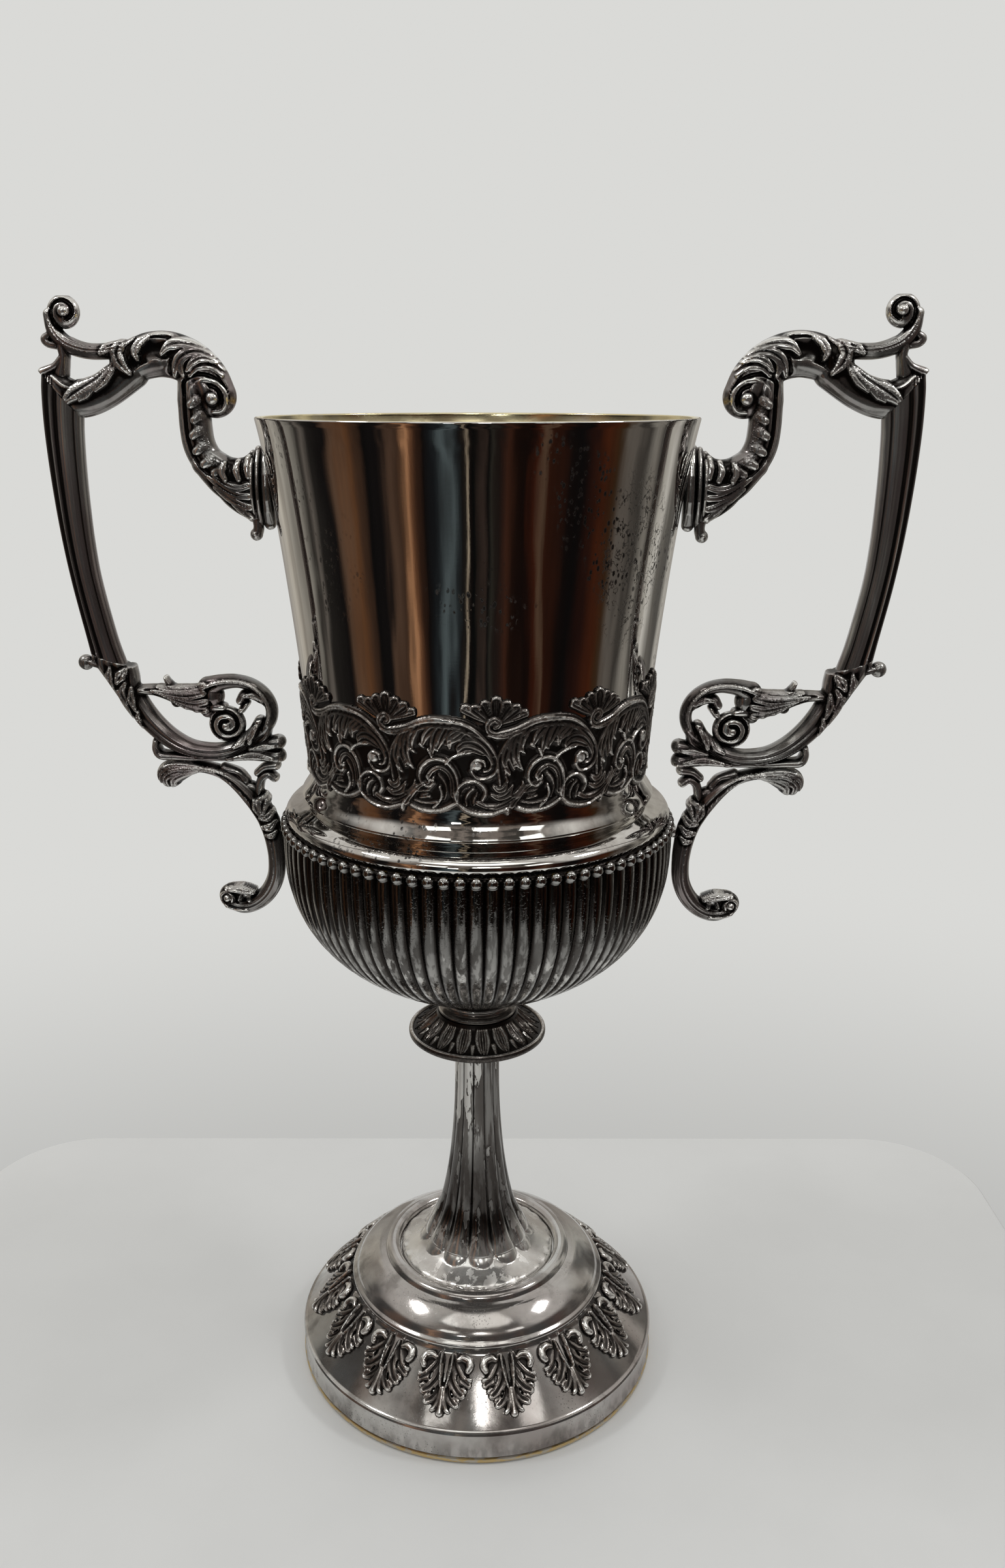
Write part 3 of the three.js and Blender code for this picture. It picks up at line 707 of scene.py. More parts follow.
def handle_silver(finish):
    """Castings of the handles: oxide in the hollows, purple-brown toning on the smooth faces, crests made
    bright, partly rubbing wear and partly painted highlight, and matted leaves."""
    def make(graph):
        grain = graph.noise(1100, 3)
        toned = graph.noise(45, 4, (1, 1, 0.3), turn=8.0).over(0.40, 0.66)
        streaks = graph.noise(230, 4, (1, 1, 0.3), turn=2.0).over(0.42, 0.66)
        crest = (graph.number("crest") + (grain - 0.5) * 0.12).over(0.26, 0.58)
        # Bright crests: partly rubbing wear, partly painted highlight.
        bright = (graph.number("crest") + (grain - 0.5) * 0.3).over(0.66, 0.94)
        dots = graph.speckle(1150).over(0.05, 0.55) * graph.number("matted")
        base = graph.blend(toned * 0.8, shaded(finish.silver, 0.40), shaded(finish.toning, 0.80))
        base = graph.blend(streaks * 0.45, base, shaded(finish.tarnish, 0.38))
        colour = graph.blend(crest, shaded(finish.oxide, 0.6), base)
        colour = graph.blend(bright * (1 - dots * 0.5), colour, finish.silver)
        roughness = 0.19 - bright * 0.05 + dots * 0.08
        return colour, roughness, graph.bump(grain * 0.2 - dots * 2.0, 0.00010, 0.5)
    return metal("handle_silver", make, metallic=0.92)


def grip_silver(finish):
    """The grips: glossy, dark purple-brown in streaks along them, bright along the reeds."""
    def make(graph):
        streaks = graph.noise(330, 4, (1, 1, 0.06), turn=3.0).over(0.38, 0.62)
        toned = graph.noise(60, 4, (1, 1, 0.25), turn=8.0).over(0.34, 0.60)
        crest = graph.number("crest").over(0.2, 0.8)
        base = graph.blend(toned * 0.8, shaded(finish.silver, 0.58), shaded(finish.toning, 0.75))
        base = graph.blend(streaks * 0.5, base, shaded(finish.tarnish, 0.34))
        colour = graph.blend(crest, finish.oxide, base)
        ridges = streaks * 0.4 + graph.noise(1200, 2) * 0.3
        return colour, 0.14 + streaks * 0.08, graph.bump(ridges, 0.00006, 0.4)
    return metal("grip_silver", make, metallic=0.86)


def worn_brass(finish):
    """Brass showing through at the bottom edge, with plate left on it in patches."""
    def make(graph):
        plate = graph.noise(260, 4, (1, 1, 3)).over(0.46, 0.58)
        colour = graph.blend(plate * 0.75, finish.brass, shaded(finish.silver, 0.6))
        return colour, 0.30 + plate * 0.1, graph.bump(graph.noise(900, 3), 0.00006, 0.5)
    return metal("worn_brass", make)


def plain_steel(finish):
    """Turned steel with a faint rust bloom."""
    def make(graph):
        bloom = graph.noise(400, 3).over(0.5, 0.7)
        colour = graph.blend(bloom * 0.4, finish.steel, shaded(finish.brass, 0.5))
        lathe_marks = graph.noise(200, 2, (1, 1, 30))
        return colour, 0.34 + bloom * 0.2, graph.bump(lathe_marks, 0.00006, 0.5)
    return metal("plain_steel", make)


# ------------------------------------------------------------------ the cup's outlines


# Mesh columns round the plain pieces, and over one reed, one knop leaf and one lobe.
COLUMNS = {"wall": 400, "foot": 384, "wire": 240, "neck": 160}
REED_COLUMNS, KNOP_LEAF_COLUMNS, LOBE_COLUMNS = 10, 38, 34

RIM = (77.0, 380.0)
WAIST = (62.0, 256.0)
FLARE = bezier(WAIST, (62, 276), (71, 356), RIM)
SHEET = 1.2
BOWL_RADIUS = 73.4
BOWL_TOP = 237.0
BEAD_HEIGHT = 234.6
BEAD_SUNK = 0.9


def radius_at(height):
    """Outer radius of the flared wall at a height."""
    return np.interp(height, FLARE[:, 1], FLARE[:, 0])


def ripple(ring, angles, depth, seed):
    """Slow dents left by the raising of the sheet."""
    chance = np.random.default_rng(seed)
    along = distances(ring)[:, None]
    total = np.zeros((len(ring), len(angles)))
    for _ in range(14):
        turns = chance.integers(2, 16)
        waves = chance.uniform(-0.06, 0.06)
        phase = chance.uniform(0, FULL_TURN)
        total += np.sin(angles[None] * turns + along * waves * 2 + phase) / turns**0.5
    return depth * total / 4


class TROPHY_OT_wall(bpy.types.Operator):
    """The flared cup wall, gilded inside, with its rolled foot and shoulder"""
    bl_idname = "trophy.wall"
    bl_label = "Cup wall"

    def execute(self, context):
        finish = context.scene.cup_finish
        outside = outline(
            0.9,
            [(71.4, 237.2), (72.2, 238.6), (71.5, 240.4), (69.8, 241.7), (67, 242.7), (63.9, 244.1)],
            [(63.9, 244.1), (64.0, 245.3)],
            [(64.0, 245.3), (65.3, 246.0), (65.7, 247.0), (65.0, 248.2), (63.5, 250.6), (62.5, 253.2),
             WAIST],
        )
        outside = np.vstack([outside, outline(1.8, FLARE)[1:]])
        lip = outline(0.25, [RIM, (76.95, 380.5), (76.4, 380.8), (75.85, 380.5), (75.7, 379.6)])
        inner_wall = FLARE[::-1] - (SHEET, 0)
        inside = outline(
            2.0, [(75.7, 379.6), *inner_wall[1:-1], (61.0, 252), (62.2, 247), (62.6, 243.2), (65.8, 241.4)],
            [(65.8, 241.4), (69.6, 240.2), (70.2, 238.8), (69.8, 237.2), (71.4, 237.2)],
        )
        profile = np.vstack([outside, lip[1:], inside[1:]])
        # The gilding begins at the top of the lip.
        first_inner = len(outside) + 2

        def dents(ring, angles):
            """Dents on the free part of the wall, away from waist and rim."""
            height = ring[:, 1:]
            free = ramp(height, 250, 270) * (1 - ramp(height, 372, RIM[1]))
            return ripple(ring, angles, depth=0.10, seed=5) * free, {}

        turned(
            "cup_wall_plate", profile, COLUMNS["wall"], [polished_plate(finish), gilding(finish)],
            ["cup_wall"], dents, first_inner,
        )
        return {"FINISHED"}


class TROPHY_OT_bowl(bpy.types.Operator):
    """The reeded bowl with a bead on top of every reed"""
    bl_idname = "trophy.bowl"
    bl_label = "Reeded bowl"

    def execute(self, context):
        finish, shape = context.scene.cup_finish, context.scene.cup_shape
        reeds, depth, bead = shape.bowl_reeds, shape.reed_depth, shape.bead_radius
        curve = bezier((11, 161.5), (44, 171.7), (BOWL_RADIUS, 186.5), (BOWL_RADIUS, 226))
        outside = outline(1.6, curve, [(BOWL_RADIUS, 226), (BOWL_RADIUS, 229.5), (73.3, 232.0)])
        bead_seat = outline(
            0.3, [(73.3, 232.0), (73.1, 233.4), (72.8, 235), (72.3, 236.2), (71.4, BOWL_TOP)],
        )
        # A narrow lip that laps inside the shoulder, then the inside, a little in from the outside.
        inside = outline(
            3.5, [(71.4, BOWL_TOP), (69.4, BOWL_TOP)], [(69.4, BOWL_TOP), (69.4, 238.0)],
            [(69.4, 238.0), (68.4, 238.0)], [(68.4, 238.0), (69.6, 233)],
            [(69.6, 233), (70.6, 226), *(curve[-2:2:-2] - (2.6, -1.6)), (9, 164.2)],
        )
        profile = np.vstack([outside, bead_seat[1:], inside[1:]])
        rows_outside = len(outside) + len(bead_seat) - 1

        def reeding(ring, angles):
            """Reeds with sharp grooves between them, each ending in a ball under the shoulder."""
            radius, height = ring[:, :1], ring[:, 1:]
            across = np.abs((angles * reeds / FULL_TURN) % 1 - 0.5)[None] * 2
            hump = np.sqrt(np.clip(1 - (across * 0.99) ** 2, 0, 1)) * np.ones_like(radius)
            shallower = np.clip(radius / BOWL_RADIUS, 0.12, 1)
            reed = 1 - ramp(height, BEAD_HEIGHT - 1.0, BEAD_HEIGHT + 0.4)
            lift = depth * shallower * (hump * reed - 1)
            half_pitch = math.pi * radius / reeds
            ball_x, ball_y = across * half_pitch / bead, (height - BEAD_HEIGHT) / (bead * 0.95)
            ball = np.sqrt(np.clip(1 - ball_x**2 - ball_y**2, 0, 1))
            lift = np.where(ball > 0, np.maximum(lift, ball * bead - BEAD_SUNK), lift)
            crest = np.maximum(hump**1.6 * reed, np.where(ball > 0, 0.25 + ball, 0))
            worn = np.clip(ball * 1.6 - 0.35, 0, 1)
            lift[rows_outside:], crest[rows_outside:], worn[rows_outside:] = 0, 1, 0
            return lift, {"crest": np.clip(crest, 0, 1), "worn": worn}

        turned(
            "reeded_bowl", profile, reeds * REED_COLUMNS, [reeded_silver(finish), gilding(finish)],
            ["fluted_bowl"], reeding, rows_outside, sharp=75,
        )
        return {"FINISHED"}


class TROPHY_OT_neck(bpy.types.Operator):
    """The ringed neck under the bowl and the leafy knop below it"""
    bl_idname = "trophy.neck"
    bl_label = "Neck and knop"

    leaves: IntProperty(name="Leaves", description="Leaves round the knop", default=16, min=4)

    def execute(self, context):
        finish = context.scene.cup_finish
        silver = ornament_silver(finish)
        collar = outline(
            0.3, [(6.3, 153.95), (15.4, 153.95)],
            [(15.4, 153.95), (15.4, 154.5), (14.6, 155.1), (13.2, 155.9), (12.9, 156.9), (13.5, 157.5)],
            [(13.5, 157.5), (14.3, 157.8), (14.6, 158.3), (14.2, 158.8), (13.0, 159.1)],
            [(13.0, 159.1), (12.0, 159.6), (11.6, 160.4), (11.6, 161.3)],
            [(11.6, 161.3), (6.3, 161.3), (6.3, 153.95)],
        )

        def rings(ring, angles):
            """No relief, only painted highlights: bright bands along the edges of the rings."""
            upper_highlight_band, lower_highlight_band = bell(ring[:, 1:], 158.5, 0.35), bell(ring[:, 1:], 154.7, 0.30)
            crest = np.clip(0.3 + 0.7 * upper_highlight_band + 0.5 * lower_highlight_band, 0, 1) * np.ones((1, len(angles)))
            return np.zeros_like(crest), {"crest": crest}

        turned(
            "neck_rings", collar, COLUMNS["neck"], [ring_silver(finish)],
            ["neck_collar"], rings,
        )

        top = [(5, 153.6), (15.8, 153.6), (16.5, 152), (18.2, 150.2), (20, 148.6), (22, 147), (24, 145.9)]
        dome = outline(0.30, top[:2], top[1:] + [(25.4, 145.6)])
        edge = outline(0.28, [(25.4, 145.6), (25.9, 146.2), (26.6, 146.4), (27.2, 145.7), (27.2, 144.2),
                              (26.6, 143.5)])
        under = outline(
            1.6, [(26.6, 143.5), (21.5, 142.2), (16.5, 141.2), (11.2, 139.8), (10.4, 138.05)],
            [(10.4, 138.05), (8.2, 138.05)], [(8.2, 138.05), (8.2, 140.4), (15.5, 142.9), (23.2, 144.4)],
            [(23.2, 144.4), (19, 147.4), (14.7, 149.6), (12.6, 152.4), (5, 152.4)],
            [(5, 152.4), (5, 153.6)],
        )
        profile = np.vstack([dome, edge[1:], under[1:]])
        on_top = len(dome)

        def knop_leaves(ring, angles):
            """Leaves on the upper face only, and a bright edge wire."""
            carving = knop_carving(ring[:on_top, 0], angles, self.leaves)
            lift = np.zeros((len(ring), len(angles)))
            lift[:on_top] = carving
            crest = (0.50 + 0.45 * bell(ring[:, 1:], 146.3, 0.30)) * np.ones_like(lift)
            crest[:on_top] = np.clip(0.29 + carving * 1.00, 0, 1)
            return lift, {"crest": crest}

        turned(
            "leaf_knop_shell", profile, self.leaves * KNOP_LEAF_COLUMNS, [silver],
            ["leaf_knop"], knop_leaves,
        )
        return {"FINISHED"}


def knop_carving(radius, angles, leaves):
    """Pointed leaves round the knop, each with two outlines and a midrib, and darts between."""
    first_leaf, pitch = math.radians(8.9), FULL_TURN / leaves
    root, tip = 16.3, 25.0
    dart_root, dart_tip = 20.5, 24.3
    offset = (angles - first_leaf + pitch / 2) % pitch - pitch / 2
    x = offset[None] * radius[:, None]
    r = radius[:, None] * np.ones_like(x)
    share = np.clip((r - root) / (tip - root), 0, 1.2)
    half = 3.15 * np.clip(1 - share**2.2, 0, 1) ** 0.72 * np.clip(0.66 + share, 0.66, 1)
    inner = np.abs(x) / np.maximum(half, 0.05)
    leaf = ((r > root) & (share < 1)) * 1.0
    rim = bell(inner, 0.82, 0.17)
    second = bell(inner, 0.40, 0.11) * (share < 0.80)
    midrib = bell(x, 0, 0.28) * (share < 0.9)
    body = 0.12 * (inner < 1)
    relief = leaf * (body + 1.10 * rim + 0.60 * second + 0.60 * midrib) * (inner < 1.12)
    between = np.abs(np.abs(offset) - pitch / 2)[None] * radius[:, None]
    dart_share = np.clip((r - dart_root) / (dart_tip - dart_root), 0, 1)
    dart_half = 0.28 + 0.55 * (1 - dart_share)
    dart = 1.2 * bell(between, 0, dart_half) * (r > dart_root) * (r < dart_tip)
    return np.maximum(relief, dart)


class TROPHY_OT_stem(bpy.types.Operator):
    """The trumpet stem with its rounded lobes, and its crimped skirt"""
    bl_idname = "trophy.stem"
    bl_label = "Stem"

    def execute(self, context):
        finish, lobes = context.scene.cup_finish, context.scene.cup_shape.stem_lobes
        trumpet = bezier((20.5, 51.5), (7.3, 79), (8.8, 131), (8.8, 137.7))
        skirt = [(31.6, 43.95), (31.6, 44.6), (29.8, 46.0), (26.4, 47.6), (23.2, 49.3), (20.5, 51.5)]
        outside = outline(0.6, skirt[:2], skirt[1:], trumpet)
        inside = outline(
            2.4, [(8.8, 137.7), (3.3, 137.7)], [(3.3, 137.7), (3.3, 136.5), (6.4, 136.4)],
            [(6.4, 136.4), *(trumpet[-2:1:-2] - (2.4, 0.6)), (18.9, 48.8), (24.5, 45.6), (29.2, 44.4),
             (30, 43.95)],
            [(30, 43.95), (31.6, 43.95)],
        )
        profile = np.vstack([outside, inside[1:]])
        rows = len(outside)
        first_lobe, pitch = math.radians(7.4), FULL_TURN / lobes

        def lobed(ring, angles):
            """Lobes with grooves between them, bulbs at their feet and a crimped hem."""
            height = ring[:, 1:]
            along = distances(ring)[:, None]
            offset = ((angles - first_lobe + pitch / 2) % pitch - pitch / 2)[None]
            across = np.abs(offset) / (pitch / 2)
            # The lobes end in bulbs on the skirt, and pale points of the skirt run up between them.
            bulb_end, bulb_middle, groove_full = 9.6, 16.0, 23.0
            depth = 1.3 + 1.8 * (1 - ramp(height, 50, 96))
            hump = np.sqrt(np.clip(1 - (across * 0.985) ** 2.1, 0, 1))
            open_groove = ramp(along, bulb_end + 2.0, groove_full)
            reach = np.clip(bulb_middle - along, 0, None) / (bulb_middle - bulb_end)
            bulb = np.sqrt(np.clip(1 - (across * 1.03) ** 2 - reach**2, 0, 1))
            bulge = 1.5 * bulb * (1 - ramp(along, bulb_middle - 1, bulb_middle + 16))
            lift = 0.1 + bulge - 0.9 * depth * (1 - hump) * open_groove
            beat = 0.5 + 0.5 * np.cos(angles * 3 + 1.1)[None] * np.cos(angles * 7 + 0.4)[None]
            crimps = np.cos(angles * 26 + 0.6 + 1.3 * np.sin(angles * 5))[None] * (0.15 + 0.85 * beat)
            hem = bell(along, 1.9, 1.3)
            lift = lift + 0.34 * crimps * hem + 0.25 * hem
            crest = 1 - (1 - hump**1.2) * open_groove
            lift[rows:], crest[rows:] = 0, 0.5
            return lift, {"crest": np.clip(crest, 0, 1)}

        turned(
            "lobed_stem", profile, lobes * LOBE_COLUMNS, [stem_silver(finish)],
            ["fluted_stem"], lobed, sharp=60,
        )
        return {"FINISHED"}


# ------------------------------------------------------------------ the foot


SLOPE_TOP = (52.7, 31.9)
SLOPE = bezier((72.5, 13.1), (66, 19), (59, 26.7), SLOPE_TOP)


class TROPHY_OT_foot(bpy.types.Operator):
    """The domed foot, its brass wire and the stud, nut and washer inside it"""
    bl_idname = "trophy.foot"
    bl_label = "Foot"

    def execute(self, context):
        finish = context.scene.cup_finish
        outside = outline(
            0.8, [(73.5, 2.5), (73.2, 6.2), (73.4, 11), (73.7, 12.3)],
            [(73.7, 12.3), (73.4, 12.9), (72.5, 13.1)],
            SLOPE,
            [SLOPE_TOP, (52.2, 32.8), (52.1, 33.2)],
            [(52.1, 33.2), (52.6, 34.2), (52.2, 35.3), (51.1, 35.7)],
            [(51.1, 35.7), (50.6, 36.2), (50.2, 37.2), (48.5, 39.2), (45, 41.8), (41.5, 43.8),
             (39.4, 44.3)],
            [(39.4, 44.3), (38.4, 44.4)],
            [(38.4, 44.4), (37.9, 45.5), (36.6, 46.6), (35, 46.9), (33.4, 46.5)],
            [(33.4, 46.5), (32.4, 45.4), (32.2, 43.6)], [(32.2, 43.6), (3.3, 43.6)],
        )
        inside = outline(
            2.0, [(3.3, 43.6), (3.3, 42.4)],
            [(3.3, 42.4), (38.5, 42.4), (44, 40), (49.2, 34.6), (51, 30.8)],
            [(51, 30.8), (58, 24.6), (66.8, 15.6), (71.8, 11.2), (72.2, 2.5), (73.5, 2.5)],
        )
        profile = np.vstack([outside, inside[1:]])

        def dents(ring, angles):
            """Dents on the dome, outside the ring that holds the stem."""
            beyond_top_ring = ring[:, :1] > 34
            return ripple(ring, angles, depth=0.07, seed=11) * beyond_top_ring, {}

        turned(
            "foot_shell", profile, COLUMNS["foot"], [foot_plate(finish)],
            ["foot_dome"], dents,
        )
        wire = outline(
            0.35, [(71.6, 0.0), (73.5, 0.0)], [(73.5, 0.0), (73.8, 0.7), (73.75, 1.6), (73.4, 2.2)],
            [(73.4, 2.2), (71.6, 2.2)], [(71.6, 2.2), (71.6, 0.0)],
        )
        turned("foot_wire_ring", wire, COLUMNS["wire"], [worn_brass(finish)], ["foot_wire"])
        for node, make in {
            "bowl_boss": worn_brass, "nut": worn_brass, "stud": plain_steel, "washer": plain_steel,
        }.items():
            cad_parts[node].data.materials.clear()
            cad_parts[node].data.materials.append(make(finish))
        return {"FINISHED"}


# ------------------------------------------------------------------ applied castings


def solid_cells(solid):
    """Which cells of a grid have solid places at all four corners."""
    return (solid[:-1, :-1] & solid[1:, :-1] & solid[:-1, 1:] & solid[1:, 1:]).ravel()


def shell(name, points, kept, columns, drop, silver, node, crest):
    """A closed shell in place of one CAD node: the kept quads of a grid, the same quads dropped by
    an offset as its back, and a wall round its edge."""
    rows = len(points) // columns
    quads = grid_faces(rows, columns)[kept]
    used, quads = np.unique(quads, return_inverse=True)
    quads = quads.reshape(-1, 4)
    count = len(used)
    front, back = points[used], (points + drop)[used]
    edges = np.concatenate([quads[:, [k, (k + 1) % 4]] for k in range(4)])
    keys = edges[:, 0].astype(np.int64) * count + edges[:, 1]
    twins = edges[:, 1].astype(np.int64) * count + edges[:, 0]
    rim = edges[~np.isin(keys, twins)]
    wall = np.column_stack([rim[:, 1], rim[:, 0], rim[:, 0] + count, rim[:, 1] + count])
    faces = np.vstack([quads, quads[:, ::-1] + count, wall]).tolist()
    numbers = {"crest": np.tile(crest.ravel()[used], 2)}
    new_piece(
        name, np.vstack([front, back]), faces, [silver], [node], sharp=60,
        numbers=numbers,
    )


FRIEZE_COUNT = 11
FRIEZE_FIRST = math.radians(7.3)
FRIEZE_LOW, FRIEZE_HIGH = 254.0, 297.0
FRIEZE_RADIUS = 64.4
FRIEZE_PITCH = FULL_TURN * FRIEZE_RADIUS / FRIEZE_COUNT
# Where its relief is thinner than this, the casting is pierced.
THINNEST = 0.02
# The frieze was drawn on a strip, with the middle of a shell here, and is stretched to the pitch.
SHELL_MIDDLE = 13
FRIEZE_STRETCH = 1.036


def frieze_carving(x, z, rise):
    """Scrolling acanthus between shells. x is 0 at the middle of a shell and z is the height."""
    carving = Carving(x, z, FRIEZE_PITCH)

    def at(points):
        """Places on the drawn strip, as places on the cup."""
        return [((u - SHELL_MIDDLE) * FRIEZE_STRETCH, v) for u, v in points]

    def cut(kind, width, height, points, **more):
        """A stroke on the drawn strip, its height a share of the relief."""
        carving.stroke(kind, width, height * rise, at(points), **more)

    # The ground fills the space between the scrolls.
    cut("round", 10, 0.12, [(4, 275), (14, 277), (26, 277), (38, 275), (44, 274)])
    cut("round", 7.5, 0.12, [(0, 264), (10, 263), (20, 264), (30, 263), (37, 265)])
    cut("round", 4, 0.12, [(13, 285), (30, 282), (44, 281)])

    # Shell: a fan of ribbed petals.
    fan = [(-9.3, 293.0, 1.7), (-6.2, 292.9, 1.6), (-3.1, 294.4, 1.7), (0.5, 295.6, 1.9), (3.9, 294.2, 1.7),
           (7.0, 292.9, 1.6), (9.6, 291.0, 1.5)]
    for dx, tip, half in fan:
        root = (SHELL_MIDDLE + 0.2 + dx * 0.12, 286.2)
        end = (SHELL_MIDDLE + dx / FRIEZE_STRETCH, tip - half * 0.9)
        cut("round", half + 0.25, 0.30, [root, end], taper=(0.35, 0.8, 1))
        for side in (-1, 1):
            lean = side * half * 0.86
            edge = (end[0] + lean, end[1] - 0.5)
            middle = ((root[0] + edge[0]) / 2 + side * 0.25, (root[1] + edge[1]) / 2)
            shoulder = (end[0] + lean * 0.75, end[1] + half * 0.6)
            cut("round", 0.34, 0.56, [root, middle, edge])
            cut("round", 0.34, 0.60, [edge, shoulder, (end[0], end[1] + half * 0.9)])
        for share in (-0.4, 0, 0.4):
            cut("round", 0.22, 0.55, [root, (end[0] + share * half, end[1] + half * 0.25)])

    # Ribbon that curls under the shell and runs along the top of the scroll.
    ribbon = [(36, 287.4), (30, 287.6), (25, 286.7), (20, 284.7), (16, 283.5), (13, 283.2), (11.2, 284.3),
              (10.8, 286.2), (11.8, 287.8), (13.5, 288.1), (14.6, 286.9), (14, 285.7), (13, 285.4)]
    cut("channel", 0.95, 1.0, ribbon, taper=(0.5, 1, 1, 1.2, 1, 0.8))
    cut("round", 0.5, 0.8, [(11, 282.9), (14, 281.8), (18, 282.4), (22, 284)])

    # Great scroll, with a ball at its eye.
    scroll = [(15, 265.5), (14.5, 270), (14.3, 275), (16, 279), (19, 283), (24, 286), (30, 287.3),
              (36, 287), (40, 285.9), (44, 283), (47, 279.5), (49, 276), (49.5, 272.5), (48.5, 269.5),
              (46, 268), (43, 268.3), (41.3, 270.5)]
    cut("ribs", 1.7, 0.80, scroll, taper=(0.7, 1, 1, 1.1, 1, 1, 0.9, 0.7))
    inner = [(17.5, 266.5), (16.6, 270), (16.8, 274), (18.5, 278), (22, 282.5), (27, 285), (33, 285.4),
             (38, 284.3), (42, 282), (45.3, 278.8), (47.2, 275.5), (47.6, 272.5), (46.6, 270.6),
             (45, 270.4)]
    cut("round", 0.7, 0.72, inner, taper=(0.5, 1, 1.1, 1, 1, 0.8))
    cut("round", 0.55, 0.9, [(41.3, 270.5), (41.3, 273), (43, 274.6), (45.3, 273.8), (45.6, 272.2)])
    carving.ball(2.1, 1.05 * rise, at([(43.1, 272.4)])[0])

    # Low body of the leaves that hang from the scroll, then the leaves.
    cut("round", 3.4, 0.36, [(17, 268), (17, 275), (21, 280), (27, 282), (34, 281), (40, 280)])
    hanging = [
        [(20, 283), (17.5, 279), (16.3, 274.5), (17, 271.5), (18, 269.7)],
        [(21, 283.8), (18.9, 280), (18.3, 276), (19, 272.8), (19.6, 271)],
        [(22, 284.5), (20.5, 281), (19.9, 277), (20.6, 273.5), (21.9, 271)],
        [(24.3, 285.4), (22.2, 282), (21.6, 279.2), (22.2, 276.7)],
        [(30, 285.8), (27, 282.5), (25.4, 278.6)],
        [(32, 286), (29.8, 282.5), (28.5, 275.4)],
        [(34, 286), (32, 282), (30.3, 277.5)],
        [(38, 284.4), (34.8, 282.2), (34.3, 278.3)],
        [(39, 284), (36.2, 281.8), (33, 279.5)],
    ]
    for leaf in hanging:
        cut("leaf", 1.55, 0.92, leaf, taper=(0.8, 1.1, 0.9, 0.35), lift=(0.8, 1, 1.10, 0.9))
    tips = [((16.4, 271), (18.1, 269.2)), ((21.3, 277.4), (22.8, 276.3)), ((27.3, 277.6), (28.6, 275)),
            ((24.6, 279.2), (26, 278.2)), ((20.2, 272.2), (22.2, 270.7)), ((29.4, 278.2), (30.6, 277.2))]
    for start, end in tips:
        cut("round", 0.45, 0.95, [start, end])

    # Strands that turn back towards the shell.
    strands = [
        [(37.3, 281.3), (40, 282.7), (43, 281.7), (46, 279.3), (48.2, 276)],
        [(36.9, 278), (38, 279.6), (41, 280.2), (44, 278.9), (46.5, 276.2), (47.8, 273.5)],
        [(37.2, 276.9), (39.6, 278.2), (42.3, 277.7), (45, 276.4)],
    ]
    for strand in strands:
        cut("channel", 1.3, 0.86, strand, taper=(0.6, 1.1, 1, 0.8, 0.6))
    cut("round", 0.5, 0.7, [(36.9, 277), (36.8, 279), (38, 280)])
    cut("round", 0.55, 0.95, [(33, 272.8), (35, 275), (38, 276.3), (41, 276.7)], taper=(1, 1, 0.5))

    # Ring scroll below, with the curl inside it.
    ring = [(36.8, 259.5), (37, 264), (36.3, 269), (34, 272.8), (31, 274.2), (28, 273.8), (25.2, 271.5),
            (24.2, 268.5), (25, 265.8), (27.2, 264.6), (28.8, 266)]
    cut("ribs", 1.7, 0.85, ring, taper=(0.9, 1, 1.1, 1, 0.8, 0.6))
    cut("channel", 0.9, 0.9, [(27, 268), (28.6, 270.3), (31.2, 271.4), (33.8, 269.8), (35, 266.5),
                              (35.1, 262)])
    cut("round", 0.5, 0.85, [(26.8, 268.4), (27.2, 267.2), (28.6, 266.9), (29, 267.8)])
    cut("ribs", 1.15, 0.7, [(30.6, 269.2), (32.6, 266.6), (33.3, 263.5), (32.4, 260.2)],
        taper=(0.6, 1, 1, 0.5))
    cut("round", 0.6, 0.8, [(31, 264.6), (31.6, 262), (30.6, 259.2), (28.6, 257.4)])

    # Scallops along the bottom.
    cut("ribs", 1.25, 0.9, [(21, 257.6), (24, 256.4), (28, 256.2), (32, 257), (36.4, 259.4)])
    cut("ribs", 1.2, 0.9, [(0, 263), (1, 259.8), (4, 257), (8, 255.6), (12, 255.5), (15, 256.5),
                           (17.4, 257.4)])
    cut("round", 0.55, 0.6, [(22, 259.4), (26, 258.6), (30, 259.2)])

    # Tulip spray.
    cut("channel", 0.85, 0.9, [(19, 258), (21, 261), (24, 264.5), (27.3, 266.2)], taper=(1, 1.2, 1, 0.6))
    cut("leaf", 1.4, 0.80, [(12.2, 262.2), (14.6, 261.2), (17.4, 262.2), (19.2, 265.2)],
        taper=(0.4, 1, 1.1, 0.3))
    cut("leaf", 1.2, 0.85, [(13.0, 265.0), (14.6, 263.8), (16.4, 264.6), (17.2, 267.0)],
        taper=(0.5, 1, 1, 0.3))
    cut("leaf", 1.2, 0.80, [(18.4, 261.6), (20.6, 262.2), (22.4, 264.2), (22.6, 266.4)],
        taper=(0.4, 1, 1, 0.3))
    cut("channel", 0.9, 0.85, [(8, 259.3), (11, 258), (15, 258.3), (19, 260.4), (22.5, 263)])
    cut("ribs", 1.4, 0.8, [(18.9, 259.6), (17.9, 257.6), (17.6, 255.9)], taper=(0.6, 1.1, 0.8))
    for start, end in [((23.5, 262.6), (27.5, 263.4)), ((24, 260.4), (27.5, 261)),
                       ((33.3, 275), (34.2, 272.2))]:
        cut("round", 0.5, 0.6, [start, end])
    cut("round", 0.7, 0.5, [(24.5, 261.4), (26.8, 262.2)])

